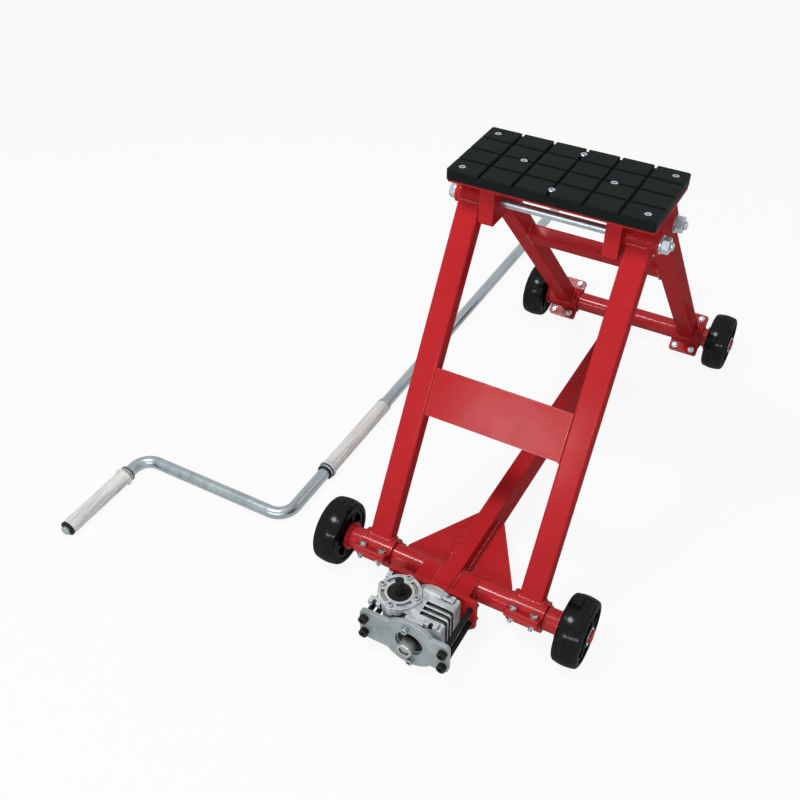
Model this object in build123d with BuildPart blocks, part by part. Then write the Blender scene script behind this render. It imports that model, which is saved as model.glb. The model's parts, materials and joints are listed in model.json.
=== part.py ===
from build123d import *
import os
from math import sqrt

os.makedirs("parts", exist_ok=True)

# Wheels and axles
wheel_diameter = 100
wheel_width = 37
front_wheel_overhang = 45.5
rear_wheel_overhang = 35.5
rim_diameter = 78
rim_inset = 1.5
shoulder_radius = 6
hub_boss_diameter = 34
pocket_diameter = 66
pocket_depth = 10
spoke_count = 6
spoke_width = 6
axle_diameter = 33.7
axle_wall = 3.6
spindle_diameter = 20
collar_diameter = 42
collar_thickness = 5
plug_length = 24
clip_thickness = 1.2
clip_depth = 3
spindle_tail = 3
run_gap = 0.3
bore_play = 0.05

# Frame geometry, raised
pivot_height = 495
pivot_spacing = 58
front_leg_length = 517.5
rear_leg_length = 603.5

# Legs
leg_wall = 2.5
leg_corner = 3.5
front_leg_width = 34
front_leg_depth = 24
rear_leg_width = 30
rear_leg_depth = 28
barrel_diameter = 30
cross_plate_height = 68
cross_plate_from_axle = 212
cross_plate_thickness = 5
cross_bar_height = 42
cross_bar_depth = 20
cross_bar_from_pivot = 212

# Split saddles that turn on the axles
saddle_width = 50
saddle_wall = 5.5
flange_reach = 38.5
flange_thickness = 4.5
flange_corner = 4
split_gap = 1
saddle_bolt_reach = 30
saddle_bolt_pitch = 30
saddle_bolt_diameter = 6
saddle_bolt_flats = 10
saddle_bolt_head = 4.2
saddle_nut_height = 5
saddle_bolt_tail = 5
hole_clearance = 0.25

# Platform and rubber pad
pad_length = 281
pad_depth = 142
pad_thickness = 15
pad_corner = 4
pad_columns = 6
pad_rows = 4
groove_width = 4
groove_depth = 5
block_bevel = 1.4
plate_thickness = 5
plate_corner = 3
plate_inset = 4
pivot_drop = 37
pad_screw_diameter = 5
pad_screw_head = 10
pad_screw_head_height = 3
pad_screw_sink = 0.6
pad_screw_tail = 4
corner_screw_inset = 16
middle_screw_x = 62
recess_clearance = 0.5

# Brackets and lugs under the platform
bracket_width = 20
bracket_depth = 116
bracket_drop = 24
bracket_wall = 4
lug_thickness = 6
lug_top_width = 40
lug_ear_radius = 14
side_play = 0.4
barrel_length = 37.5

# Pivot bolts
pivot_diameter = 12
pivot_flats = 19
pivot_nut_height = 10
pivot_head_height = 8
pivot_tail = 4
thread_chamfer = 1
washer_diameter = 24
washer_thickness = 2.5

# Central tube, inner tube and gussets
tube_width = 26.8
tube_height = 51.6
tube_wall = 2.4
tube_corner = 3
tube_rear_gap = 107
gusset_half_width = 82
gusset_reach = 128
gusset_thickness = 6
gusset_front_depth = 23
gusset_tip_width = 8.5
inner_tube_height = 33
inner_tube_wall = 2
inner_tube_from_axle = 120
slide_play = 0.5
slide_floor_gap = 0.5

# Screw drive
screw_diameter = 14
screw_rear_gap = 45
screw_hole_clearance = 3
drive_nut_length = 30
drive_nut_height = 40
drive_nut_gap = 0.5
screw_collar_diameter = 22
screw_end_ahead = 14
screw_end_recess = 15
screw_end_recess_depth = 2.5

# Gearbox
gear_ahead = 85
worm_offset = 37.5
worm_diameter = 24
worm_length = 30
worm_journal = 12
mesh_gap = 0.4
gear_width = 18
gear_hub_diameter = 20
case_depth = 58
case_right_x = 40
case_left_x = -12
case_half_height = 34
case_edge = 4
tower_diameter = 47
boss_diameter = 64
boss_height = 8
rear_boss_height = 8
cover_diameter = 65
chamber_clearance = 2
chamber_half_depth = 13
gear_bearing_diameter = 40
gear_bearing_width = 10
worm_bearing_diameter = 28
worm_bearing_width = 9
fin_count = 3
fin_pitch = 9
fin_slot = 6.2
fin_depth = 5
fin_start_x = 1
fin_foot = 12
fin_centre = -4
lug_pad_x = 24
left_lug_x = -61
lug_pad_width = 18
lug_pad_depth = 10
lug_pad_height = 3
lug_notch = 6
flange_height = 5
flange_pad_height = 8
flange_body_diameter = 60
flange_lobe_diameter = 13
flange_screw_circle = 52
flange_slot_circle = 46
flange_slot_width = 5
flange_slot_depth = 2
flange_slot_end = 17
flange_screw_diameter = 4
flange_screw_head = 8.5
flange_screw_head_height = 3.5
flange_screw_socket = 4
flange_screw_socket_depth = 2
seal_diameter = 34
seal_thickness = 2
drive_flats = 12
drive_height = 23
front_plate_x = -8
front_plate_width = 134
front_plate_height = 54
front_plate_corner = 8
front_plate_arch = 42
front_plate_thickness = 6
front_plate_hole = 42
face_screw_rise = 31
face_screw_shift = 4
face_screw_diameter = 6
face_screw_head = 10
face_screw_head_height = 8
face_screw_socket = 5
face_screw_socket_depth = 3
face_screw_depth = 6
gear_bolt_spread = 59
gear_bolt_rise = 14
gear_bolt_diameter = 8
gear_bolt_head = 13
gear_bolt_socket = 6
gear_bolt_socket_depth = 4
gear_nut_flats = 13
gear_nut_height = 6.5
gear_bolt_tail = 3
bracket_plate_drop = 40
bracket_plate_rise = 30
bracket_plate_chamfer = 18
bracket_web_x = 38
bracket_web_thickness = 6
bracket_web_height = 40

# Crank lying on the floor
crank_diameter = 20
sleeve_diameter = 25
sleeve_flange_diameter = 30
sleeve_flange_thickness = 3
grip_x = -568
grip_tip_y = -464
grip_length = 128
arm_y = -286
shaft_x = -291
shaft_end_y = 880
crank_bend = 28
shaft_sleeve_y = -164
shaft_sleeve_length = 180
crank_collar_diameter = 25
crank_collar_length = 7
sleeve_play = 0.08
socket_length = 44
socket_depth = 28
socket_clearance = 0.2
end_washer_thickness = 3
end_screw_diameter = 8
end_screw_depth = 20
end_screw_flats = 13
end_screw_head = 5.5

# Places that follow from the sizes
axle_z = wheel_diameter / 2
axle_radius = axle_diameter / 2
rise = pivot_height - axle_z
front_pivot_y = -pivot_spacing / 2
rear_pivot_y = pivot_spacing / 2
front_axle_y = front_pivot_y - sqrt(front_leg_length**2 - rise**2)
rear_axle_y = rear_pivot_y + sqrt(rear_leg_length**2 - rise**2)
front_wheel_x = pad_length / 2 + front_wheel_overhang
rear_wheel_x = pad_length / 2 + rear_wheel_overhang
tube_rear_y = rear_axle_y - tube_rear_gap
screw_rear_y = tube_rear_y - screw_rear_gap
inner_tube_front_y = front_axle_y + inner_tube_from_axle
plate_top = pivot_height + pivot_drop
plate_bottom = plate_top - plate_thickness
pad_top = plate_top + pad_thickness
lug_outer_x = pad_length / 2
lug_inner_x = lug_outer_x - lug_thickness
barrel_outer_x = lug_inner_x - side_play
barrel_inner_x = barrel_outer_x - barrel_length
bracket_x = barrel_inner_x - side_play - bracket_width / 2
front_leg_x = barrel_outer_x - front_leg_width / 2
rear_leg_x = barrel_outer_x - rear_leg_width / 2
saddle_bore_radius = axle_radius + bore_play
saddle_radius = saddle_bore_radius + saddle_wall
flange_top = split_gap / 2 + flange_thickness
gear_y = front_axle_y - gear_ahead
case_top = axle_z + case_half_height
case_bottom = axle_z - case_half_height
case_front_y = gear_y - case_depth / 2
case_rear_y = gear_y + case_depth / 2
front_plate_y = case_front_y - boss_height
bracket_plate_y = case_rear_y + rear_boss_height
bracket_face_y = bracket_plate_y + front_plate_thickness
flange_top_z = case_top + flange_height
gear_radius = worm_offset - worm_diameter / 2 - mesh_gap
chamber_radius = gear_radius + chamber_clearance
screw_hole = screw_diameter + 2 * screw_hole_clearance
crank_z = sleeve_flange_diameter / 2
sides = ((-1, "left"), (1, "right"))


def save(piece, name):
    piece.part.label = name
    export_step(piece.part, f"parts/{name}.step")


def across(x):
    # sketch in Y and Z, grown towards +X
    return Plane.YZ.offset(x)


def facing_front(y):
    # sketch in X and Z, grown towards the front
    return Plane.XZ.offset(-y)


def level(z):
    return Plane.XY.offset(z)


def leg_plane(axle_y, pivot_y):
    # origin on the axle, local z up along the leg
    return Plane(origin=(0, axle_y, axle_z), x_dir=(1, 0, 0), z_dir=(0, pivot_y - axle_y, rise))


def leg_side(plane, x):
    # sketch across the leg and along it, grown towards +X
    return Plane(origin=plane.origin + Vector(x, 0, 0), x_dir=plane.y_dir, z_dir=(1, 0, 0))


front_plane = leg_plane(front_axle_y, front_pivot_y)
rear_plane = leg_plane(rear_axle_y, rear_pivot_y)

# Platform plate and rubber pad
corner_x = pad_length / 2 - corner_screw_inset
corner_y = pad_depth / 2 - corner_screw_inset
pad_screw_points = [(sx * corner_x, sy * corner_y) for sx in (-1, 0, 1) for sy in (-1, 1)]
pad_screw_points += [(sx * middle_screw_x, 0) for sx in (-1, 1)]

with BuildPart() as platform_plate:
    with BuildSketch(level(plate_top)):
        RectangleRounded(pad_length, pad_depth - 2 * plate_inset, plate_corner)
        with Locations(*pad_screw_points):
            Circle(pad_screw_diameter / 2, mode=Mode.SUBTRACT)
    extrude(amount=-plate_thickness)
save(platform_plate, "platform_plate")

with BuildPart() as rubber_pad:
    with BuildSketch(level(plate_top)):
        RectangleRounded(pad_length, pad_depth, pad_corner)
    extrude(amount=pad_thickness)
    with BuildSketch(level(pad_top)):
        with GridLocations(pad_length / pad_columns, pad_depth, pad_columns - 1, 1):
            Rectangle(groove_width, 2 * pad_depth)
        with GridLocations(pad_length, pad_depth / pad_rows, 1, pad_rows - 1):
            Rectangle(2 * pad_length, groove_width)
    extrude(amount=-groove_depth, mode=Mode.SUBTRACT)
    block_tops = rubber_pad.faces().filter_by_position(Axis.Z, pad_top - run_gap, pad_top + run_gap)
    chamfer(block_tops.edges(), block_bevel)
    head_seat = pad_top - pad_screw_sink - pad_screw_head_height
    with BuildSketch(level(head_seat)):
        with Locations(*pad_screw_points):
            Circle(pad_screw_head / 2 + recess_clearance)
    extrude(amount=pad_thickness, mode=Mode.SUBTRACT)
    with BuildSketch(level(head_seat)):
        with Locations(*pad_screw_points):
            Circle(pad_screw_diameter / 2 + hole_clearance)
    extrude(amount=-pad_thickness, mode=Mode.SUBTRACT)
save(rubber_pad, "rubber_pad")

with BuildPart() as pad_screws:
    with BuildSketch(level(head_seat)):
        with Locations(*pad_screw_points):
            Circle(pad_screw_head / 2)
    extrude(amount=pad_screw_head_height)
    chamfer(pad_screws.faces().sort_by(Axis.Z)[-len(pad_screw_points):].edges(), pad_screw_sink)
    with BuildSketch(level(head_seat + pad_screw_head_height)):
        with Locations(*pad_screw_points):
            RegularPolygon(pad_screw_diameter / 3, 6)
    extrude(amount=-pad_screw_head_height / 2, mode=Mode.SUBTRACT)
    with BuildSketch(level(head_seat)):
        with Locations(*pad_screw_points):
            Circle(pad_screw_diameter / 2)
    extrude(amount=-(head_seat - plate_bottom + pad_screw_tail))
save(pad_screws, "pad_screws")

pivot_points = [(front_pivot_y, pivot_height), (rear_pivot_y, pivot_height)]
pivot_hole_radius = pivot_diameter / 2 + hole_clearance


bracket_bottom = pivot_height - bracket_drop
with BuildPart() as platform_brackets:
    with BuildSketch(level(bracket_bottom)):
        with Locations((-bracket_x, 0), (bracket_x, 0)):
            Rectangle(bracket_width, bracket_depth)
    extrude(amount=plate_bottom - bracket_bottom)
    lower_faces = platform_brackets.faces().sort_by(Axis.Z)[:2]
    fillet(lower_faces.edges().filter_by(Axis.X), bracket_wall)
    with BuildSketch(level(bracket_bottom + bracket_wall)):
        with Locations((-bracket_x, 0), (bracket_x, 0)):
            Rectangle(bracket_width - 2 * bracket_wall, bracket_depth - 2 * bracket_wall)
    extrude(amount=plate_bottom, mode=Mode.SUBTRACT)
    with BuildSketch(across(0)):
        with Locations(*pivot_points):
            Circle(pivot_hole_radius)
    extrude(amount=pad_length, both=True, mode=Mode.SUBTRACT)
save(platform_brackets, "platform_brackets")

with BuildPart() as platform_lugs:
    for side, word in sides:
        with BuildSketch(across(side * (lug_inner_x + lug_thickness / 2))):
            with Locations((0, plate_bottom)):
                Rectangle(lug_top_width, lug_thickness, align=(Align.CENTER, Align.MAX))
            with Locations(*pivot_points):
                Circle(lug_ear_radius)
            make_hull()
            with Locations(*pivot_points):
                Circle(pivot_hole_radius, mode=Mode.SUBTRACT)
        extrude(amount=lug_thickness / 2, both=True)
save(platform_lugs, "platform_lugs")

washer_face = lug_outer_x + washer_thickness


with BuildPart() as pivot_bolts:
    with BuildSketch(across(-washer_face)):
        with Locations(*pivot_points):
            RegularPolygon(pivot_flats / 2, 6, major_radius=False)
    extrude(amount=-pivot_head_height)
    with BuildSketch(across(-washer_face)):
        with Locations(*pivot_points):
            Circle(pivot_diameter / 2)
    extrude(amount=2 * washer_face + pivot_nut_height + pivot_tail)
    chamfer(pivot_bolts.faces().sort_by(Axis.X)[-2:].edges(), thread_chamfer)
save(pivot_bolts, "pivot_bolts")

with BuildPart() as pivot_nuts:
    with BuildSketch(across(washer_face)):
        with Locations(*pivot_points):
            RegularPolygon(pivot_flats / 2, 6, major_radius=False)
            Circle(pivot_diameter / 2, mode=Mode.SUBTRACT)
    extrude(amount=pivot_nut_height)
save(pivot_nuts, "pivot_nuts")

with BuildPart() as pivot_washers:
    for side, word in sides:
        with BuildSketch(across(side * (lug_outer_x + washer_thickness / 2))):
            with Locations(*pivot_points):
                Circle(washer_diameter / 2)
                Circle(pivot_hole_radius, mode=Mode.SUBTRACT)
        extrude(amount=washer_thickness / 2, both=True)
save(pivot_washers, "pivot_washers")


# Legs, each a tube with its pivot barrel and a foot shaped to its saddle
def make_leg(plane, length, x, width, depth, barrel_x):
    with BuildPart() as leg:
        with BuildSketch(plane):
            with Locations((x, 0)):
                RectangleRounded(width, depth, leg_corner)
                inner = (width - 2 * leg_wall, depth - 2 * leg_wall)
                RectangleRounded(*inner, leg_corner - leg_wall, mode=Mode.SUBTRACT)
        extrude(amount=length)
        with BuildSketch(leg_side(plane, barrel_x)):
            with Locations((0, length)):
                Circle(barrel_diameter / 2)
        extrude(amount=barrel_length / 2, both=True)
        with BuildSketch(leg_side(plane, x)):
            Circle(saddle_radius)
            with Locations((0, length)):
                Circle(pivot_diameter / 2 + bore_play)
        extrude(amount=barrel_length, both=True, mode=Mode.SUBTRACT)
    return leg


def make_saddles(plane, x, sense):
    # sense +1 is the half welded to the leg, -1 the cap bolted under it
    with BuildPart() as halves:
        for side, word in sides:
            with BuildSketch(leg_side(plane, side * x)):
                Circle(saddle_radius)
                with Locations((0, sense * (split_gap + flange_thickness) / 2)):
                    Rectangle(2 * flange_reach, flange_thickness)
                Circle(saddle_bore_radius, mode=Mode.SUBTRACT)
                with Locations((0, sense * (split_gap / 2 - saddle_radius))):
                    Rectangle(2 * flange_reach, 2 * saddle_radius, mode=Mode.SUBTRACT)
            extrude(amount=saddle_width / 2, both=True)
        fillet(halves.edges().filter_by(Axis(plane.origin, plane.z_dir)), flange_corner)
        with BuildSketch(plane):
            with Locations((-x, 0), (x, 0)):
                with GridLocations(saddle_bolt_pitch, 2 * saddle_bolt_reach, 2, 2):
                    Circle(saddle_bolt_diameter / 2 + hole_clearance)
        extrude(amount=2 * flange_top, both=True, mode=Mode.SUBTRACT)
    return halves


def make_saddle_bolts(plane, x):
    with BuildPart() as bolts:
        with BuildSketch(plane.offset(flange_top)):
            with Locations((-x, 0), (x, 0)):
                with GridLocations(saddle_bolt_pitch, 2 * saddle_bolt_reach, 2, 2):
                    RegularPolygon(saddle_bolt_flats / 2, 6, major_radius=False)
        extrude(amount=saddle_bolt_head)
        with BuildSketch(plane.offset(flange_top)):
            with Locations((-x, 0), (x, 0)):
                with GridLocations(saddle_bolt_pitch, 2 * saddle_bolt_reach, 2, 2):
                    Circle(saddle_bolt_diameter / 2)
        extrude(amount=-(2 * flange_top + saddle_nut_height + saddle_bolt_tail))
    return bolts


def make_saddle_nuts(plane, x):
    with BuildPart() as nuts:
        with BuildSketch(plane.offset(-flange_top)):
            with Locations((-x, 0), (x, 0)):
                with GridLocations(saddle_bolt_pitch, 2 * saddle_bolt_reach, 2, 2):
                    RegularPolygon(saddle_bolt_flats / 2, 6, major_radius=False)
                    Circle(saddle_bolt_diameter / 2, mode=Mode.SUBTRACT)
        extrude(amount=-saddle_nut_height)
    return nuts


leg_sets = (
    ("front", front_plane, front_leg_length, front_leg_x, front_leg_width, front_leg_depth),
    ("rear", rear_plane, rear_leg_length, rear_leg_x, rear_leg_width, rear_leg_depth),
)
barrel_x = (barrel_inner_x + barrel_outer_x) / 2
for name, plane, length, leg_x, width, depth in leg_sets:
    for side, word in sides:
        leg = make_leg(plane, length, side * leg_x, width, depth, side * barrel_x)
        save(leg, f"{name}_leg_{word}")
    save(make_saddles(plane, leg_x, 1), f"{name}_saddles")
    save(make_saddles(plane, leg_x, -1), f"{name}_saddle_caps")
    save(make_saddle_bolts(plane, leg_x), f"{name}_saddle_bolts")
    save(make_saddle_nuts(plane, leg_x), f"{name}_saddle_nuts")

with BuildPart() as front_cross_plate:
    with BuildSketch(front_plane.offset(cross_plate_from_axle)):
        with Locations((0, (cross_plate_thickness - front_leg_depth) / 2)):
            Rectangle(2 * front_leg_x - front_leg_width, cross_plate_thickness)
    extrude(amount=cross_plate_height)
save(front_cross_plate, "front_cross_plate")

with BuildPart() as rear_cross_bar:
    half_span = rear_leg_x - rear_leg_width / 2
    with BuildSketch(leg_side(rear_plane, 0)):
        with Locations(((cross_bar_depth - rear_leg_depth) / 2, rear_leg_length - cross_bar_from_pivot)):
            RectangleRounded(cross_bar_depth, cross_bar_height, leg_corner)
            inner = (cross_bar_depth - 2 * leg_wall, cross_bar_height - 2 * leg_wall)
            RectangleRounded(*inner, leg_corner - leg_wall, mode=Mode.SUBTRACT)
    extrude(amount=half_span, both=True)
save(rear_cross_bar, "rear_cross_bar")


# Axles, spindles, retaining rings and wheels
def make_axle(y, wheel_x, drilled):
    half = wheel_x - wheel_width / 2 - run_gap - collar_thickness
    with BuildPart() as axle:
        with BuildSketch(across(0)):
            with Locations((y, axle_z)):
                Circle(axle_radius)
                Circle(axle_radius - axle_wall, mode=Mode.SUBTRACT)
        extrude(amount=half, both=True)
        if drilled:
            with BuildSketch(facing_front(y)):
                with Locations((0, axle_z)):
                    Circle(screw_hole / 2)
            extrude(amount=axle_diameter, both=True, mode=Mode.SUBTRACT)
    return axle


def make_spindles(y, wheel_x):
    tip = wheel_x + wheel_width / 2 + run_gap + clip_thickness + spindle_tail
    clip_x = wheel_x + wheel_width / 2 + run_gap
    collar_x = wheel_x - wheel_width / 2 - run_gap
    rings = (
        (axle_radius - axle_wall, collar_x - collar_thickness, -plug_length, Mode.ADD),
        (collar_diameter / 2, collar_x, -collar_thickness, Mode.ADD),
        (spindle_diameter / 2, collar_x, tip - collar_x, Mode.ADD),
    )
    with BuildPart() as spindles:
        for side, word in sides:
            for radius, start, length, mode in rings:
                with BuildSketch(across(side * start)):
                    with Locations((y, axle_z)):
                        Circle(radius)
                extrude(amount=side * length, mode=mode)
            with BuildSketch(across(side * clip_x)):
                with Locations((y, axle_z)):
                    Circle(spindle_diameter / 2)
                    Circle(spindle_diameter / 2 - clip_thickness, mode=Mode.SUBTRACT)
            extrude(amount=side * clip_thickness, mode=Mode.SUBTRACT)
    return spindles


def make_clips(y, wheel_x):
    with BuildPart() as clips:
        for side, word in sides:
            with BuildSketch(across(side * (wheel_x + wheel_width / 2 + run_gap))):
                with Locations((y, axle_z)):
                    Circle(spindle_diameter / 2 + clip_depth)
                    Circle(spindle_diameter / 2 - clip_thickness, mode=Mode.SUBTRACT)
            extrude(amount=side * clip_thickness)
    return clips


def make_tyre(x, y):
    with BuildPart() as tyre:
        with BuildSketch(across(x)):
            with Locations((y, axle_z)):
                Circle(wheel_diameter / 2)
        extrude(amount=wheel_width / 2, both=True)
        fillet(tyre.edges().filter_by(GeomType.CIRCLE), shoulder_radius)
        with BuildSketch(across(x)):
            with Locations((y, axle_z)):
                Circle(rim_diameter / 2)
        extrude(amount=wheel_width, both=True, mode=Mode.SUBTRACT)
    return tyre


def make_hub(x, y):
    half = wheel_width / 2 - rim_inset
    with BuildPart() as hub:
        with BuildSketch(across(x)):
            with Locations((y, axle_z)):
                Circle(rim_diameter / 2)
        extrude(amount=half, both=True)
        with BuildSketch(across(x)):
            with Locations((y, axle_z)):
                Circle(hub_boss_diameter / 2)
        extrude(amount=wheel_width / 2, both=True)
        for sense in (-1, 1):
            with BuildSketch(across(x + sense * half)):
                with Locations((y, axle_z)):
                    Circle(pocket_diameter / 2)
                    with PolarLocations(0, spoke_count, angular_range=360):
                        with Locations((pocket_diameter / 2, 0)):
                            Rectangle(pocket_diameter, spoke_width, mode=Mode.SUBTRACT)
                    Circle(hub_boss_diameter / 2, mode=Mode.SUBTRACT)
            extrude(amount=-sense * pocket_depth, mode=Mode.SUBTRACT)
        with BuildSketch(across(x)):
            with Locations((y, axle_z)):
                Circle(spindle_diameter / 2 + bore_play)
        extrude(amount=wheel_width, both=True, mode=Mode.SUBTRACT)
    return hub


axle_sets = (("front", front_axle_y, front_wheel_x, True), ("rear", rear_axle_y, rear_wheel_x, False))
for name, y, wheel_x, drilled in axle_sets:
    save(make_axle(y, wheel_x, drilled), f"{name}_axle_tube")
    save(make_spindles(y, wheel_x), f"{name}_spindles")
    save(make_clips(y, wheel_x), f"{name}_wheel_clips")
    for side, word in sides:
        save(make_tyre(side * wheel_x, y), f"{name}_tyre_{word}")
        save(make_hub(side * wheel_x, y), f"{name}_wheel_{word}")

# Central tube, gussets, inner tube and drive nut
with BuildPart() as central_tube:
    with BuildSketch(facing_front(tube_rear_y)):
        with Locations((0, axle_z)):
            RectangleRounded(tube_width, tube_height, tube_corner)
            inner = (tube_width - 2 * tube_wall, tube_height - 2 * tube_wall)
            RectangleRounded(*inner, tube_corner - tube_wall, mode=Mode.SUBTRACT)
    extrude(amount=tube_rear_y - bracket_face_y)
    with BuildSketch(across(0)):
        with Locations((front_axle_y, axle_z)):
            Circle(axle_radius)
    extrude(amount=tube_width, both=True, mode=Mode.SUBTRACT)
save(central_tube, "central_tube")

with BuildPart() as gusset_plates:
    for side, word in sides:
        with BuildSketch(level(axle_z - gusset_thickness / 2)):
            with BuildLine():
                Polyline(
                    (side * tube_width / 2, front_axle_y),
                    (side * gusset_half_width, front_axle_y),
                    (side * gusset_half_width, front_axle_y + gusset_front_depth),
                    (side * (tube_width / 2 + gusset_tip_width), front_axle_y + gusset_reach),
                    (side * tube_width / 2, front_axle_y + gusset_reach),
                    close=True,
                )
            make_face()
        extrude(amount=gusset_thickness)
    with BuildSketch(across(0)):
        with Locations((front_axle_y, axle_z)):
            Circle(axle_radius)
    extrude(amount=front_wheel_x, both=True, mode=Mode.SUBTRACT)
save(gusset_plates, "gusset_plates")

inner_tube_width = tube_width - 2 * tube_wall - 2 * slide_play
inner_tube_bottom = axle_z - tube_height / 2 + tube_wall + slide_floor_gap
with BuildPart() as inner_tube:
    with BuildSketch(facing_front(inner_tube_front_y)):
        with Locations((0, inner_tube_bottom + inner_tube_height / 2)):
            Rectangle(inner_tube_width, inner_tube_height)
            inner = (inner_tube_width - 2 * inner_tube_wall, inner_tube_height - 2 * inner_tube_wall)
            Rectangle(*inner, mode=Mode.SUBTRACT)
    extrude(amount=-(rear_axle_y - inner_tube_front_y))
    with BuildSketch(across(0)):
        with Locations((rear_axle_y, axle_z)):
            Circle(axle_radius)
            Rectangle(axle_diameter, 2 * tube_height, align=(Align.MIN, Align.CENTER))
    extrude(amount=tube_width, both=True, mode=Mode.SUBTRACT)
save(inner_tube, "inner_tube")

with BuildPart() as drive_nut:
    with BuildSketch(facing_front(inner_tube_front_y - drive_nut_gap)):
        with Locations((0, axle_z)):
            Rectangle(inner_tube_width, drive_nut_height)
            Circle(screw_diameter / 2 + bore_play, mode=Mode.SUBTRACT)
    extrude(amount=drive_nut_length)
save(drive_nut, "drive_nut")

# Gearbox bracket on the front axle
with BuildPart() as gearbox_bracket:
    with BuildSketch(facing_front(bracket_plate_y)):
        with BuildLine():
            left = front_plate_x - front_plate_width / 2
            right = front_plate_x + front_plate_width / 2
            Polyline(
                (left, axle_z + bracket_plate_rise),
                (right, axle_z + bracket_plate_rise),
                (right, axle_z - bracket_plate_drop + bracket_plate_chamfer),
                (right - bracket_plate_chamfer, axle_z - bracket_plate_drop),
                (left + bracket_plate_chamfer, axle_z - bracket_plate_drop),
                (left, axle_z - bracket_plate_drop + bracket_plate_chamfer),
                close=True,
            )
        make_face()
        with Locations((front_plate_x, axle_z)):
            with GridLocations(2 * gear_bolt_spread, 2 * gear_bolt_rise, 2, 2):
                Circle(gear_bolt_diameter / 2 + hole_clearance, mode=Mode.SUBTRACT)
        with Locations((0, axle_z)):
            Circle(screw_hole / 2, mode=Mode.SUBTRACT)
    extrude(amount=-front_plate_thickness)
    web_reach = front_axle_y - bracket_face_y
    for side, word in sides:
        with BuildSketch(across(side * bracket_web_x)):
            with Locations((bracket_face_y, axle_z)):
                Rectangle(web_reach, bracket_web_height, align=(Align.MIN, Align.CENTER))
        extrude(amount=bracket_web_thickness / 2, both=True)
    with BuildSketch(level(axle_z + bracket_web_height / 2)):
        with Locations((0, bracket_face_y)):
            cover_width = 2 * bracket_web_x + bracket_web_thickness
            Rectangle(cover_width, web_reach, align=(Align.CENTER, Align.MIN))
            Rectangle(tube_width, web_reach, align=(Align.CENTER, Align.MIN), mode=Mode.SUBTRACT)
    extrude(amount=-bracket_web_thickness)
    with BuildSketch(across(0)):
        with Locations((front_axle_y, axle_z)):
            Circle(axle_radius)
    extrude(amount=front_wheel_x, both=True, mode=Mode.SUBTRACT)
save(gearbox_bracket, "gearbox_bracket")

# Gearbox housing, cover, front plate and bolts
with BuildPart() as gearbox_housing:
    with BuildSketch(level(case_bottom)):
        with Locations((-worm_offset, gear_y)):
            Circle(tower_diameter / 2)
            Rectangle(worm_offset + case_right_x, tower_diameter, align=(Align.MIN, Align.CENTER))
        with Locations((case_left_x, gear_y)):
            Rectangle(case_right_x - case_left_x, case_depth, align=(Align.MIN, Align.CENTER))
    extrude(amount=2 * case_half_height)
    with BuildSketch(level(case_top)):
        with Locations((-worm_offset, gear_y)):
            Circle(flange_body_diameter / 2)
            with PolarLocations(flange_screw_circle / 2, 4):
                Circle(flange_lobe_diameter / 2)
    extrude(amount=-flange_pad_height)
    with BuildSketch(facing_front(case_front_y)):
        with Locations((0, axle_z)):
            Circle(boss_diameter / 2)
    extrude(amount=-(case_depth + rear_boss_height))
    top_edges = gearbox_housing.faces().sort_by(Axis.Z)[-1].edges()
    fillet(top_edges.filter_by(Axis.Y).sort_by(Axis.X)[-1], case_edge)
    with BuildSketch(facing_front(case_front_y)):
        with Locations((0, axle_z)):
            Circle(chamber_radius)
    extrude(amount=-(case_depth / 2 + chamber_half_depth), mode=Mode.SUBTRACT)
    with BuildSketch(facing_front(gear_y + chamber_half_depth)):
        with Locations((0, axle_z)):
            Circle(gear_bearing_diameter / 2)
    extrude(amount=-gear_bearing_width, mode=Mode.SUBTRACT)
    with BuildSketch(facing_front(gear_y)):
        with Locations((0, axle_z)):
            Circle(gear_hub_diameter / 2 + chamber_clearance)
    extrude(amount=-case_depth, mode=Mode.SUBTRACT)
    with BuildSketch(level(case_top)):
        with Locations((-worm_offset, gear_y)):
            Circle(worm_bearing_diameter / 2)
    extrude(amount=-(2 * case_half_height - case_edge), mode=Mode.SUBTRACT)
    for step in range(fin_count):
        with BuildSketch(facing_front(gear_y + fin_centre + (step - (fin_count - 1) / 2) * fin_pitch)):
            with Locations((fin_start_x, case_bottom + fin_foot)):
                size = (case_right_x - fin_start_x, 2 * case_half_height - fin_foot)
                Rectangle(*size, align=(Align.MIN, Align.MIN))
                inner = (size[0] - fin_depth, size[1] - fin_depth)
                Rectangle(*inner, align=(Align.MIN, Align.MIN), mode=Mode.SUBTRACT)
        extrude(amount=fin_slot / 2, both=True, mode=Mode.SUBTRACT)
    with BuildSketch(level(case_top)):
        with Locations((-worm_offset, gear_y)):
            with PolarLocations(flange_screw_circle / 2, 4):
                Circle(flange_screw_diameter / 2)
    extrude(amount=-flange_pad_height, mode=Mode.SUBTRACT)
    for x, lug_top in ((left_lug_x, case_top), (lug_pad_x, case_top + lug_pad_height)):
        for sense in (-1, 1):
            with BuildSketch(level(lug_top)):
                with Locations((x, gear_y + sense * (case_depth - lug_pad_depth) / 2)):
                    Rectangle(lug_pad_width, lug_pad_depth)
            extrude(amount=-flange_pad_height)
            with BuildSketch(level(lug_top)):
                with Locations((x, gear_y + sense * case_depth / 2)):
                    SlotOverall(2 * lug_notch, lug_notch, rotation=90)
            extrude(amount=-flange_pad_height, mode=Mode.SUBTRACT)
save(gearbox_housing, "gearbox_housing")

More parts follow.
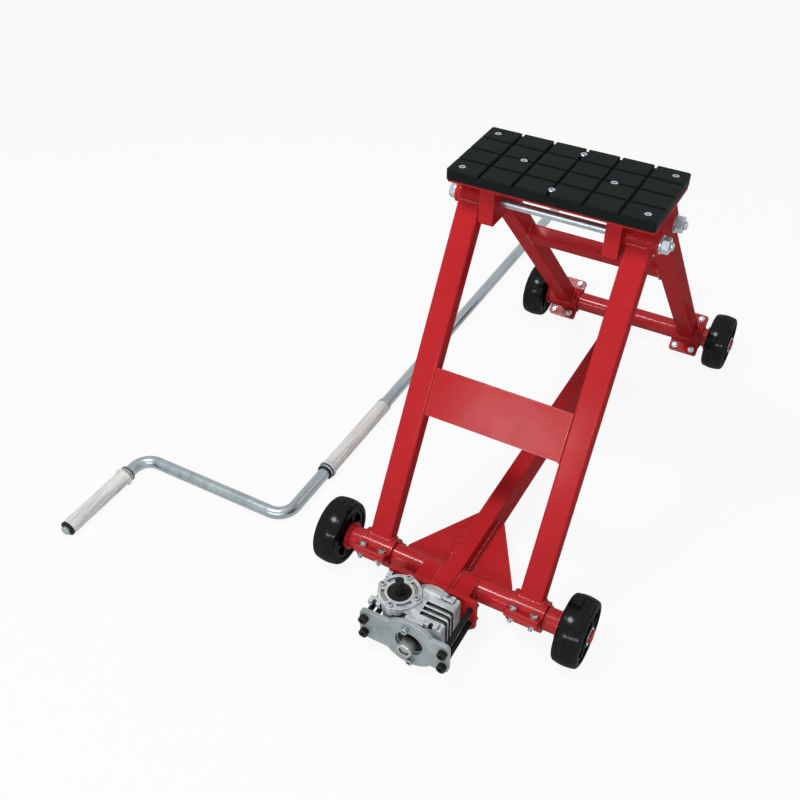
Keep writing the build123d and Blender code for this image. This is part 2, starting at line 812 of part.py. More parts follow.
face_screw_points = [
    (face_screw_shift, axle_z - face_screw_rise),
    (-face_screw_shift, axle_z + face_screw_rise),
]
with BuildPart() as gearbox_cover:
    with BuildSketch(facing_front(case_front_y)):
        with Locations((0, axle_z)):
            Circle(cover_diameter / 2)
            Circle(gear_bearing_diameter / 2, mode=Mode.SUBTRACT)
    extrude(amount=boss_height)
    with BuildSketch(facing_front(front_plate_y)):
        with Locations(*face_screw_points):
            Circle(face_screw_diameter / 2)
    extrude(amount=-face_screw_depth, mode=Mode.SUBTRACT)
save(gearbox_cover, "gearbox_cover")

with BuildPart() as gearbox_front_plate:
    with BuildSketch(facing_front(front_plate_y)):
        with Locations((front_plate_x, axle_z)):
            RectangleRounded(front_plate_width, front_plate_height, front_plate_corner)
        with Locations((0, axle_z)):
            Circle(front_plate_arch)
            Circle(front_plate_hole / 2, mode=Mode.SUBTRACT)
        with Locations((front_plate_x, axle_z)):
            with GridLocations(2 * gear_bolt_spread, 2 * gear_bolt_rise, 2, 2):
                Circle(gear_bolt_diameter / 2 + hole_clearance, mode=Mode.SUBTRACT)
        with Locations(*face_screw_points):
            Circle(face_screw_diameter / 2 + hole_clearance, mode=Mode.SUBTRACT)
    extrude(amount=front_plate_thickness)
save(gearbox_front_plate, "gearbox_front_plate")

plate_face_y = front_plate_y - front_plate_thickness
with BuildPart() as gearbox_face_screws:
    with BuildSketch(facing_front(plate_face_y)):
        with Locations(*face_screw_points):
            Circle(face_screw_head / 2)
    extrude(amount=face_screw_head_height)
    chamfer(gearbox_face_screws.faces().sort_by(Axis.Y)[:2].edges(), recess_clearance)
    with BuildSketch(facing_front(plate_face_y - face_screw_head_height)):
        with Locations(*face_screw_points):
            RegularPolygon(face_screw_socket / 2, 6, major_radius=False)
    extrude(amount=-face_screw_socket_depth, mode=Mode.SUBTRACT)
    with BuildSketch(facing_front(plate_face_y)):
        with Locations(*face_screw_points):
            Circle(face_screw_diameter / 2)
    extrude(amount=-(front_plate_thickness + face_screw_depth))
save(gearbox_face_screws, "gearbox_face_screws")

with BuildPart() as gearbox_bolts:
    with BuildSketch(facing_front(plate_face_y)):
        with Locations((front_plate_x, axle_z)):
            with GridLocations(2 * gear_bolt_spread, 2 * gear_bolt_rise, 2, 2):
                Circle(gear_bolt_head / 2)
    extrude(amount=gear_bolt_diameter)
    chamfer(gearbox_bolts.faces().sort_by(Axis.Y)[:4].edges(), recess_clearance)
    with BuildSketch(facing_front(plate_face_y - gear_bolt_diameter)):
        with Locations((front_plate_x, axle_z)):
            with GridLocations(2 * gear_bolt_spread, 2 * gear_bolt_rise, 2, 2):
                RegularPolygon(gear_bolt_socket / 2, 6, major_radius=False)
    extrude(amount=-gear_bolt_socket_depth, mode=Mode.SUBTRACT)
    with BuildSketch(facing_front(plate_face_y)):
        with Locations((front_plate_x, axle_z)):
            with GridLocations(2 * gear_bolt_spread, 2 * gear_bolt_rise, 2, 2):
                Circle(gear_bolt_diameter / 2)
    extrude(amount=-(bracket_face_y - plate_face_y + gear_nut_height + gear_bolt_tail))
save(gearbox_bolts, "gearbox_bolts")

with BuildPart() as gearbox_nuts:
    with BuildSketch(facing_front(bracket_face_y)):
        with Locations((front_plate_x, axle_z)):
            with GridLocations(2 * gear_bolt_spread, 2 * gear_bolt_rise, 2, 2):
                RegularPolygon(gear_nut_flats / 2, 6, major_radius=False)
                Circle(gear_bolt_diameter / 2, mode=Mode.SUBTRACT)
    extrude(amount=-gear_nut_height)
save(gearbox_nuts, "gearbox_nuts")

# Input flange with its seal and screws
with BuildPart() as input_flange:
    with BuildSketch(level(case_top)):
        with Locations((-worm_offset, gear_y)):
            Circle(flange_body_diameter / 2)
            with PolarLocations(flange_screw_circle / 2, 4):
                Circle(flange_lobe_diameter / 2)
            Circle(seal_diameter / 2, mode=Mode.SUBTRACT)
            with PolarLocations(flange_screw_circle / 2, 4):
                Circle(flange_screw_diameter / 2 + hole_clearance, mode=Mode.SUBTRACT)
    extrude(amount=flange_height)
    with BuildSketch(level(flange_top_z)):
        with Locations((-worm_offset, gear_y)):
            Circle((flange_slot_circle + flange_slot_width) / 2)
            Circle((flange_slot_circle - flange_slot_width) / 2, mode=Mode.SUBTRACT)
            with PolarLocations(flange_screw_circle / 2, 4):
                Circle(flange_slot_end / 2, mode=Mode.SUBTRACT)
    extrude(amount=-flange_slot_depth, mode=Mode.SUBTRACT)
save(input_flange, "input_flange")

with BuildPart() as input_seal:
    with BuildSketch(level(case_top)):
        with Locations((-worm_offset, gear_y)):
            Circle(seal_diameter / 2)
            Circle(worm_journal / 2 + bore_play, mode=Mode.SUBTRACT)
    extrude(amount=seal_thickness)
save(input_seal, "input_seal")

with BuildPart() as input_flange_screws:
    with BuildSketch(level(flange_top_z)):
        with Locations((-worm_offset, gear_y)):
            with PolarLocations(flange_screw_circle / 2, 4):
                Circle(flange_screw_head / 2)
    extrude(amount=flange_screw_head_height)
    chamfer(input_flange_screws.faces().sort_by(Axis.Z)[-4:].edges(), recess_clearance)
    with BuildSketch(level(flange_top_z + flange_screw_head_height)):
        with Locations((-worm_offset, gear_y)):
            with PolarLocations(flange_screw_circle / 2, 4):
                RegularPolygon(flange_screw_socket / 2, 6, major_radius=False)
    extrude(amount=-flange_screw_socket_depth, mode=Mode.SUBTRACT)
    with BuildSketch(level(flange_top_z)):
        with Locations((-worm_offset, gear_y)):
            with PolarLocations(flange_screw_circle / 2, 4):
                Circle(flange_screw_diameter / 2)
    extrude(amount=-(flange_height + flange_pad_height))
save(input_flange_screws, "input_flange_screws")

# Worm, worm wheel, bearings and lead screw
worm_foot = case_bottom + case_edge
with BuildPart() as worm_shaft:
    with BuildSketch(level(worm_foot + run_gap)):
        with Locations((-worm_offset, gear_y)):
            Circle(worm_journal / 2)
    extrude(amount=flange_top_z - worm_foot - run_gap)
    with BuildSketch(level(axle_z - worm_length / 2)):
        with Locations((-worm_offset, gear_y)):
            Circle(worm_diameter / 2)
    extrude(amount=worm_length)
    with BuildSketch(level(case_top + seal_thickness)):
        with Locations((-worm_offset, gear_y)):
            RegularPolygon(drive_flats / 2, 6, major_radius=False)
    extrude(amount=flange_height - seal_thickness + drive_height)
    chamfer(worm_shaft.faces().sort_by(Axis.Z)[-1].edges(), recess_clearance)
save(worm_shaft, "worm_shaft")

hub_front_y = front_plate_y - run_gap
with BuildPart() as worm_wheel:
    with BuildSketch(facing_front(gear_y)):
        with Locations((0, axle_z)):
            Circle(gear_radius)
    extrude(amount=gear_width / 2, both=True)
    with BuildSketch(facing_front(bracket_plate_y - run_gap)):
        with Locations((0, axle_z)):
            Circle(gear_hub_diameter / 2)
    extrude(amount=bracket_plate_y - run_gap - hub_front_y)
    with BuildSketch(facing_front(gear_y)):
        with Locations((0, axle_z)):
            Circle(screw_diameter / 2)
    extrude(amount=2 * case_depth, both=True, mode=Mode.SUBTRACT)
save(worm_wheel, "worm_wheel")

with BuildPart() as gearbox_bearings:
    for start in (gear_y + chamber_half_depth + gear_bearing_width, front_plate_y + gear_bearing_width):
        with BuildSketch(facing_front(start)):
            with Locations((0, axle_z)):
                Circle(gear_bearing_diameter / 2)
                Circle(gear_hub_diameter / 2 + bore_play, mode=Mode.SUBTRACT)
        extrude(amount=gear_bearing_width)
    for start in (worm_foot, case_top - worm_bearing_width):
        with BuildSketch(level(start)):
            with Locations((-worm_offset, gear_y)):
                Circle(worm_bearing_diameter / 2)
                Circle(worm_journal / 2 + bore_play, mode=Mode.SUBTRACT)
        extrude(amount=worm_bearing_width)
save(gearbox_bearings, "gearbox_bearings")

screw_front_y = plate_face_y - screw_end_ahead
with BuildPart() as lead_screw:
    with BuildSketch(facing_front(screw_rear_y)):
        with Locations((0, axle_z)):
            Circle(screw_diameter / 2)
    extrude(amount=screw_rear_y - screw_front_y)
    with BuildSketch(facing_front(hub_front_y)):
        with Locations((0, axle_z)):
            Circle(screw_collar_diameter / 2)
    extrude(amount=hub_front_y - screw_front_y)
    chamfer(lead_screw.faces().sort_by(Axis.Y)[0].edges(), thread_chamfer)
    chamfer(lead_screw.faces().sort_by(Axis.Y)[-1].edges(), thread_chamfer)
    with BuildSketch(facing_front(screw_front_y)):
        with Locations((0, axle_z)):
            Circle(screw_end_recess / 2)
    extrude(amount=-screw_end_recess_depth, mode=Mode.SUBTRACT)
save(lead_screw, "lead_screw")

# Crank with its two loose sleeves
grip_foot_y = grip_tip_y + grip_length
with BuildPart() as crank_rod:
    with BuildLine() as route:
        FilletPolyline(
            (grip_x, grip_tip_y - run_gap, crank_z),
            (grip_x, arm_y, crank_z),
            (shaft_x, arm_y, crank_z),
            (shaft_x, shaft_end_y - socket_depth, crank_z),
            radius=crank_bend,
        )
    with BuildSketch(Plane(origin=route.line @ 0, z_dir=route.line % 0)):
        Circle(crank_diameter / 2)
    sweep(path=route.line)
    collars = (
        (grip_x, grip_foot_y + run_gap),
        (shaft_x, shaft_sleeve_y - run_gap - crank_collar_length),
        (shaft_x, shaft_sleeve_y + shaft_sleeve_length + run_gap),
    )
    for x, y in collars:
        with BuildSketch(facing_front(y)):
            with Locations((x, crank_z)):
                Circle(crank_collar_diameter / 2)
        extrude(amount=-crank_collar_length)
    with BuildSketch(facing_front(grip_tip_y - run_gap)):
        with Locations((grip_x, crank_z)):
            Circle(end_screw_diameter / 2)
    extrude(amount=-end_screw_depth, mode=Mode.SUBTRACT)
save(crank_rod, "crank_rod")

with BuildPart() as crank_socket:
    with BuildSketch(facing_front(shaft_end_y)):
        with Locations((shaft_x, crank_z)):
            Circle(sleeve_flange_diameter / 2)
    extrude(amount=socket_length)
    with BuildSketch(facing_front(shaft_end_y)):
        with Locations((shaft_x, crank_z)):
            RegularPolygon(drive_flats / 2 + socket_clearance, 6, major_radius=False)
    extrude(amount=socket_depth, mode=Mode.SUBTRACT)
    with BuildSketch(facing_front(shaft_end_y - socket_depth)):
        with Locations((shaft_x, crank_z)):
            Circle(crank_diameter / 2)
    extrude(amount=socket_length, mode=Mode.SUBTRACT)
    chamfer(crank_socket.edges().filter_by(GeomType.CIRCLE).sort_by(SortBy.RADIUS)[-2:], recess_clearance * 2)
save(crank_socket, "crank_socket")


def make_sleeve(x, start, length, flange_y):
    rings = (
        (sleeve_diameter / 2, start, length),
        (sleeve_flange_diameter / 2, flange_y, sleeve_flange_thickness),
    )
    with BuildPart() as sleeve:
        for radius, foot, height in rings:
            with BuildSketch(facing_front(foot)):
                with Locations((x, crank_z)):
                    Circle(radius)
                    Circle(crank_diameter / 2 + sleeve_play, mode=Mode.SUBTRACT)
            extrude(amount=-height)
    return sleeve


grip_flange_y = grip_foot_y - sleeve_flange_thickness
save(make_sleeve(grip_x, grip_tip_y, grip_length, grip_flange_y), "crank_grip_sleeve")
save(make_sleeve(shaft_x, shaft_sleeve_y, shaft_sleeve_length, shaft_sleeve_y), "crank_shaft_sleeve")

with BuildPart() as crank_end_screw:
    end_y = grip_tip_y - run_gap
    with BuildSketch(facing_front(end_y)):
        with Locations((grip_x, crank_z)):
            Circle(crank_collar_diameter / 2)
    extrude(amount=end_washer_thickness)
    with BuildSketch(facing_front(end_y - end_washer_thickness)):
        with Locations((grip_x, crank_z)):
            RegularPolygon(end_screw_flats / 2, 6, major_radius=False)
    extrude(amount=end_screw_head)
    with BuildSketch(facing_front(end_y)):
        with Locations((grip_x, crank_z)):
            Circle(end_screw_diameter / 2)
    extrude(amount=-end_screw_depth)
save(crank_end_screw, "crank_end_screw")
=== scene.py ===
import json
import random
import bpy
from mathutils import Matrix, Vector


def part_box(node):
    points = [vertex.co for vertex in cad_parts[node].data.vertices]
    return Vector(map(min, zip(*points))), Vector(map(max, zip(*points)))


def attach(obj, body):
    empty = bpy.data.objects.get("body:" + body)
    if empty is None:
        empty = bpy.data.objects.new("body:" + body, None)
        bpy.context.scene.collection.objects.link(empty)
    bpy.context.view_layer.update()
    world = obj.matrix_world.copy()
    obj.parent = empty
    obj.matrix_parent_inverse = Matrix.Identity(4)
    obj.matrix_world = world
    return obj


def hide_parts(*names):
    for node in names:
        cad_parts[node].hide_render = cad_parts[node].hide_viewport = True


bl_info = {
    "name": "Portable Car Lift",
    "version": (1, 0, 0),
    "blender": (4, 5, 0),
    "location": "View3D > Sidebar > Car Lift",
    "description": "Dresses the lift's solids with welds, screwed fasteners, finishes and a studio",
    "category": "Object",
}

from math import cos, pi, radians, sin, sqrt, tan

import bmesh
import bpy
from bpy.props import FloatProperty, FloatVectorProperty, IntProperty, PointerProperty
from bpy.types import Operator, Panel, PropertyGroup
from mathutils import Matrix, Quaternion, Vector

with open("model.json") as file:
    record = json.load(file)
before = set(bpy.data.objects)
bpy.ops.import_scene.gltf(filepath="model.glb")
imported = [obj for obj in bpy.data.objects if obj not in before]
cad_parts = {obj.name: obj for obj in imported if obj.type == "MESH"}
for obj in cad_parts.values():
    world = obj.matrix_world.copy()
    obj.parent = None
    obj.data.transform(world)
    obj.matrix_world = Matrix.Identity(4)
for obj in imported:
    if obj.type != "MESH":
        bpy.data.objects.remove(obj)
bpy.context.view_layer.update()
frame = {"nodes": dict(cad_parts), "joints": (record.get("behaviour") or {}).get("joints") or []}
pins = {joint["name"]: Vector(joint["pos_m"]) for joint in frame["joints"] if "pos_m" in joint}

# Places read from the solids
front_axle = pins["front_fold"]
rear_axle = pins["rear_axle_level"]
front_pivot = pins["platform_level"]
rear_pivot = pins["rear_fold"]
front_length = (front_pivot - front_axle).length
rear_length = (rear_pivot - rear_axle).length
axle_radius = (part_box("front_axle_tube")[1].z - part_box("front_axle_tube")[0].z) / 2
lug_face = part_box("platform_lugs")[1].x
washer_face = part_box("pivot_washers")[1].x
case_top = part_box("input_flange")[0].z

# Sizes of the welded frame; a leg is its place across, width and depth
FRONT_LEG = (0.1171, 0.034, 0.024)
REAR_LEG = (0.1191, 0.030, 0.028)
SADDLE_RADIUS = 0.0224
BARREL_RADIUS = 0.015
CROSS_PLATE_LOW = 0.212
CROSS_PLATE_HIGH = 0.280
CROSS_PLATE_DEPTH = 0.005
CROSS_BAR_DROP = 0.212
CROSS_BAR_HALF = 0.021
CROSS_BAR_FRONT = -0.014
CROSS_BAR_REAR = 0.006
BRACKET_WIDTH = 0.020
LUG_THICKNESS = 0.006
LUG_TOP = 0.040
GUSSET_HALF = 0.003
WEB_FACES = (0.035, 0.041)
WEB_HALF = 0.019
ROOF_RISE = 0.020
MOUNT_THICKNESS = 0.006

# Sizes of the weld beads, next to the bead radius that the panel sets
NECK_INSET = 0.003
BRACKET_INSET = 0.002
PLATE_CORNER = (0.001, 0.0015)
BASE_BEAD = 1.3
LARGEST_DROP = 0.6

# Sizes of the bolts and nuts
FLANGE_TOP = 0.0050
SADDLE_BOLT_PITCH = 0.030
SADDLE_BOLT_REACH = 0.030
SADDLE_BOLT_RADIUS = 0.003
SADDLE_BOLT_PLAIN = 0.0110
SADDLE_BOLT_TAIL = 0.010
SADDLE_FLATS = 0.010
SADDLE_HEAD = 0.0034
SADDLE_NUT = 0.005
SADDLE_WASHER = 0.0058
SADDLE_WASHER_HEIGHT = 0.0011
PIVOT_RADIUS = 0.006
PIVOT_FLATS = 0.019
PIVOT_HEAD = 0.008
PIVOT_NUT = 0.010
PIVOT_TAIL = 0.014
PIVOT_THREAD_INSET = 0.006

# Sizes of the rollers' crowned treads
TYRE_SEAT = 0.039
TYRE_SHOULDER = 0.006
TYRE_CROWN = 0.0015

# Sizes of the gearbox's top strips and of the crank's end
CASE_DEPTH = 0.058
TRIM_WIDTH = 0.0065
TRIM_HEIGHT = 0.0022
TRIM_START = -0.012
TRIM_END = 0.0145
TRIM_STEP = 0.0012
TRIM_RISE = 0.001
TRIM_BEVEL = 0.0006
TRIM_STEP_BEVEL = 0.0004
TIP_RADIUS = 0.0125
TIP_WASHER = 0.003
TIP_FLATS = 0.013
TIP_HEAD = 0.0055
CLIP_BORE = 0.010
CLIP_RADIUS = 0.0132
CLIP_WIDTH = 0.0016
CLIP_STEPS = (0.0004, 0.0068)

# Colours of dust, wear and bare spots on the finishes, of painted shade in hollows and of painted highlights
# on edges
PAINT_DUST = (0.62, 0.16, 0.15)
PAINT_EDGE_HIGHLIGHT = (0.78, 0.13, 0.12)
PAINT_RUBBED = (0.46, 0.15, 0.13)
ZINC_EDGE_HIGHLIGHT = (0.80, 0.82, 0.83)
ZINC_HOLLOW_SHADE = (0.020, 0.021, 0.022)
CASTING_EDGE_HIGHLIGHT = (0.84, 0.87, 0.89)
CASTING_HOLLOW_SHADE = (0.012, 0.013, 0.014)
CASTING_SLOT_SHADE = (0.006, 0.0065, 0.007)
PLATE_EDGE_HIGHLIGHT = (0.80, 0.84, 0.86)
OXIDE_DARK = (0.004, 0.0045, 0.005)
OXIDE_PALE = (0.016, 0.017, 0.018)
OXIDE_WORN = (0.10, 0.10, 0.11)
SEAL_PALE = (0.020, 0.021, 0.023)
RUBBER_BLOOM = (0.030, 0.036, 0.038)
PLASTIC_SCUFF = (0.030, 0.036, 0.040)
PLASTIC_EDGE_WEAR_AND_HIGHLIGHT = (0.11, 0.12, 0.125)
SLEEVE_DIRT = (0.29, 0.30, 0.305)
STEEL = (0.50, 0.51, 0.50)
BRONZE = (0.56, 0.36, 0.15)
TURNED_HOLLOW_SHADE = (0.008, 0.008, 0.009)
PAPER = ((0.72, 0.72, 0.72), (0.76, 0.76, 0.76))
WHITE = (1.0, 1.0, 1.0)

# Share of the floor's own white that the camera and mirrors see, next to its shadow
FLOOR_GLOW = 0.92

# Lamps: name, property of the power, width, height, place and roll in degrees
LAMPS = (
    ("key_lamp", "key_power", 0.65, 0.5, (-0.7, -0.9, 2.5), 0),
    ("front_strip", "front_power", 1.8, 0.06, (0.6, -3.0, 1.3), 0),
    ("front_card", "card_power", 0.5, 0.26, (-0.78, -3.05, 1.19), 0),
    ("side_strip", "side_power", 0.35, 1.6, (2.3, -0.9, 1.3), 0),
    ("back_strip", "back_power", 1.0, 0.16, (0.97, 1.56, 1.67), -46),
)
LAMP_AIM = Vector((0, 0, 0.25))


# Properties

class LiftFinishes(PropertyGroup):
    enamel: FloatVectorProperty(
        name="Enamel", description="Red paint on the welded frame", subtype="COLOR",
        default=(0.475, 0.0190, 0.0235), min=0, max=1)
    zinc: FloatVectorProperty(
        name="Zinc", description="Plating on the bolts, nuts, rods and crank", subtype="COLOR",
        default=(0.28, 0.325, 0.345), min=0, max=1)
    casting: FloatVectorProperty(
        name="Casting", description="Bare die-cast aluminium of the gearbox", subtype="COLOR",
        default=(0.50, 0.54, 0.555), min=0, max=1)
    plate: FloatVectorProperty(
        name="Clamp plate", description="Sawn aluminium plate on the gearbox's front", subtype="COLOR",
        default=(0.30, 0.345, 0.345), min=0, max=1)
    rubber: FloatVectorProperty(
        name="Pad rubber", description="Moulded rubber of the load pad", subtype="COLOR",
        default=(0.0055, 0.0080, 0.0085), min=0, max=1)
    plastic: FloatVectorProperty(
        name="Roller plastic", description="Moulded nylon of the rollers", subtype="COLOR",
        default=(0.0030, 0.0042, 0.0050), min=0, max=1)
    sleeve: FloatVectorProperty(
        name="Sleeve", description="White plastic of the crank's two sleeves", subtype="COLOR",
        default=(0.80, 0.80, 0.78), min=0, max=1)
    # Wear sets only the rubbed paint on the frame's edges; the plating's pale edges are a painted highlight
    wear: FloatProperty(
        name="Wear", description="How far the paint and the plating are rubbed at their edges",
        subtype="FACTOR", default=0.45, min=0, max=1)


class LiftDetails(PropertyGroup):
    bead_radius: FloatProperty(
        name="Bead radius", description="Radius of the weld beads on the frame",
        subtype="DISTANCE", unit="LENGTH", default=0.0024, min=0.001, max=0.005)
    bead_pitch: FloatProperty(
        name="Bead pitch", description="Distance from one ripple of a weld bead to the next",
        subtype="DISTANCE", unit="LENGTH", default=0.0026, min=0.001, max=0.006)
    bead_sides: IntProperty(
        name="Bead sides", description="Faces round a weld bead", default=8, min=5, max=16)
    edge_radius: FloatProperty(
        name="Edge radius", description="Rounding that the finishes give to the solids' sharp edges",
        subtype="DISTANCE", unit="LENGTH", default=0.0008, min=0, max=0.004)
    pivot_pitch: FloatProperty(
        name="Pivot thread", description="Thread pitch of the pivot bolts",
        subtype="DISTANCE", unit="LENGTH", default=0.00175, min=0.0005, max=0.003)
    saddle_pitch: FloatProperty(
        name="Saddle thread", description="Thread pitch of the saddle bolts",
        subtype="DISTANCE", unit="LENGTH", default=0.001, min=0.0005, max=0.002)


class LiftStudio(PropertyGroup):
    eye: FloatVectorProperty(
        name="Eye", description="Where the camera stands", subtype="TRANSLATION", unit="LENGTH",
        default=(0.38492, -1.13579, 1.15976))
    turn: FloatProperty(
        name="Turn", description="How far the camera stands round to the right", subtype="ANGLE",
        default=radians(29.112))
    tilt: FloatProperty(
        name="Tilt", description="How far the camera looks down", subtype="ANGLE",
        default=radians(40.246))
    lens: FloatProperty(
        name="Lens", description="Focal length on a 36 mm sensor", unit="CAMERA",
        default=45.442, min=10, max=200)
    floor_size: FloatProperty(
        name="Floor", description="Width of the pale floor", subtype="DISTANCE", unit="LENGTH",
        default=30.0, min=2, max=100)
    sky: FloatProperty(
        name="Sky", description="Strength of the even light from all round",
        default=0.22, min=0, max=2)
    key_power: FloatProperty(
        name="Key lamp", description="Soft lamp above, a little to the left", unit="POWER",
        default=38.0, min=0, max=500)
    front_power: FloatProperty(
        name="Front strip", description="Low strip lamp in front that draws lines on round pieces",
        unit="POWER", default=20.0, min=0, max=500)
    card_power: FloatProperty(
        name="Front card", description="Small soft lamp in front whose sheen lies on the cross plate",
        unit="POWER", default=11.0, min=0, max=500)
    side_power: FloatProperty(
        name="Side strip", description="Upright strip lamp on the right", unit="POWER",
        default=1.5, min=0, max=500)
    back_power: FloatProperty(
        name="Back strip", description="Strip lamp behind that draws lines along the tube's edges",
        unit="POWER", default=4.0, min=0, max=500)


# Shader nodes written as expressions

class Wire:
    """A socket of a finish; arithmetic on it adds Math nodes."""

    def __init__(self, finish, socket):
        self.finish = finish
        self.socket = socket

    def maths(self, operation, first, second):
        return self.finish.node("Math", {"operation": operation}, {0: first, 1: second})

    def __add__(self, other):
        return self.maths("ADD", self, other)

    def __radd__(self, other):
        return self.maths("ADD", other, self)

    def __sub__(self, other):
        return self.maths("SUBTRACT", self, other)

    def __rsub__(self, other):
        return self.maths("SUBTRACT", other, self)

    def __mul__(self, other):
        return self.maths("MULTIPLY", self, other)

    def __rmul__(self, other):
        return self.maths("MULTIPLY", other, self)


class NodeTree:
    """The nodes of a material or of the world, added one by one."""

    def __init__(self, tree):
        self.tree = tree

    def plug(self, socket, value):
        if isinstance(value, Wire):
            self.tree.links.new(value.socket, socket)
        elif hasattr(value, "__len__") and len(value) == 3 and len(socket.default_value) == 4:
            socket.default_value = (*value, 1.0)
        else:
            socket.default_value = value

    def node(self, kind, settings=None, sockets=None, out=0):
        made = self.tree.nodes.new("ShaderNode" + kind)
        for name, value in (settings or {}).items():
            setattr(made, name, value)
        for name, value in (sockets or {}).items():
            self.plug(made.inputs[name], value)
        return Wire(self, made.outputs[out])

    def backdrop_rays(self):
        """One for rays that see the backdrop straight, in a mirror or through glass."""
        kinds = ("Is Camera Ray", "Is Glossy Ray", "Is Transmission Ray")
        straight, mirrored, clear = [self.node("LightPath", out=kind) for kind in kinds]
        return straight + mirrored + clear


class Finish(NodeTree):
    """One material with a Principled shader, built node by node on Object coordinates."""

    def __init__(self, name, constants):
        self.material = bpy.data.materials.new(name)
        self.material.use_nodes = True
        super().__init__(self.material.node_tree)
        self.shader = self.tree.nodes["Principled BSDF"]
        for socket, value in constants.items():
            self.plug(self.shader.inputs[socket], value)
        self.place = self.node("TexCoord", out="Object")

    def set(self, socket, value):
        self.plug(self.shader.inputs[socket], value)

    def noise(self, size, detail=2.0, rough=0.5, stretch=(1, 1, 1), seed=0.0):
        mapping = {"Vector": self.place, "Scale": stretch, "Location": (seed, seed, seed)}
        spot = self.node("Mapping", None, mapping)
        sockets = {"Vector": spot, "Scale": 1 / size, "Detail": detail, "Roughness": rough}
        return self.node("TexNoise", None, sockets)

    def span(self, value, low, high, start=0.0, end=1.0):
        return self.node("MapRange", {"clamp": True}, {0: value, 1: low, 2: high, 3: start, 4: end})

    def mix(self, share, first, second):
        return self.node("Mix", {"data_type": "RGBA"}, {0: share, 6: first, 7: second}, 2)

    def rounded(self, radius):
        return self.node("Bevel", {"samples": 6}, {"Radius": radius})

    def edges(self, radius):
        """One on sharp edges and nothing on flat faces."""
        true_normal = self.node("NewGeometry", out="True Normal")
        normals = {0: self.rounded(radius), 1: true_normal}
        lean = self.node("VectorMath", {"operation": "DOT_PRODUCT"}, normals, "Value")
        return self.span(lean, 0.985, 0.80)

    def hollow(self, reach, local=True):
        """Ambient occlusion: one in the open, less in corners and slots."""
        settings = {"samples": 6, "only_local": local}
        return self.node("AmbientOcclusion", settings, {"Distance": reach}, "AO")

    def bump(self, height, distance, strength=1.0, under=None):
        sockets = {"Strength": strength, "Distance": distance, "Height": height}
        if under:
            sockets["Normal"] = under
        return self.node("Bump", None, sockets)


# Finishes

def shade(colour, factor):
    return tuple(min(1.0, channel * factor) for channel in colour)


def red_enamel(name="red_enamel", peel=0.00004, gloss=1.0):
    finishes = bpy.context.scene.lift_finishes
    details = bpy.context.scene.lift_details
    paint = Finish(name, {"Specular IOR Level": 0.0, "Coat Roughness": 0.15, "Coat IOR": 2.0})
    cloud = paint.noise(0.09, 3.0, 0.55)
    grain = paint.noise(0.0035, 1.0)
    dust = paint.noise(0.0016, 2.0, seed=3.7)
    scuff = paint.noise(0.018, 5.0, 0.7, seed=8.1)
    edge = paint.edges(2.5 * details.edge_radius)
    body = paint.mix(cloud, shade(finishes.enamel, 0.88), shade(finishes.enamel, 1.10))
    speck = paint.span(dust, 0.66, 0.74, 0.0, 0.30)
    dusty = paint.mix(speck, body, PAINT_DUST)
    # Lighter red along sharp edges is a painted highlight
    edge_highlit = paint.mix(edge * 0.36, dusty, PAINT_EDGE_HIGHLIGHT)
    rubbed = edge * paint.span(scuff, 0.50, 0.62) * finishes.wear
    paint.set("Base Color", paint.mix(rubbed, edge_highlit, PAINT_RUBBED))
    paint.set("Roughness", 0.24 + 0.16 * cloud + 0.25 * rubbed)
    sheen = paint.span(scuff, 0.35, 0.75, 0.052 * gloss, 0.024 * gloss)
    paint.set("Coat Weight", sheen + edge * 0.2)
    smooth = paint.rounded(2.5 * details.edge_radius)
    paint.set("Normal", paint.bump(grain, peel, 0.6, smooth))
    return paint.material


def bright_zinc(name="bright_zinc", tint=1.0, rough=0.24, draw=(1, 1, 1)):
    finishes = bpy.context.scene.lift_finishes
    details = bpy.context.scene.lift_details
    zinc = Finish(name, {"Metallic": 0.85})
    cloud = zinc.noise(0.016, 3.0, 0.5, draw)
    rub = zinc.noise(0.0026, 3.0, 0.6, draw, 5.3)
    edge = zinc.edges(1.6 * details.edge_radius)
    hollow = zinc.hollow(0.003)
    patch = zinc.span(cloud, 0.30, 0.70)
    plated = zinc.mix(patch, shade(finishes.zinc, 0.84 * tint), shade(finishes.zinc, 1.16 * tint))
    stained = zinc.mix(zinc.span(rub, 0.54, 0.72, 0.0, 0.4), plated, shade(finishes.zinc, 0.5))
    # Pale zinc along sharp edges is a painted highlight
    rubbed = zinc.mix(edge * 0.6, stained, ZINC_EDGE_HIGHLIGHT)
    # Darker zinc in hollows, from ambient occlusion, is painted shade
    zinc.set("Base Color", zinc.mix(zinc.span(hollow, 0.75, 0.30, 0.0, 0.9), rubbed, ZINC_HOLLOW_SHADE))
    zinc.set("Roughness", rough + 0.16 * cloud)
    zinc.set("Normal", zinc.bump(rub, 0.00002, 0.4, zinc.rounded(0.5 * details.edge_radius)))
    return zinc.material


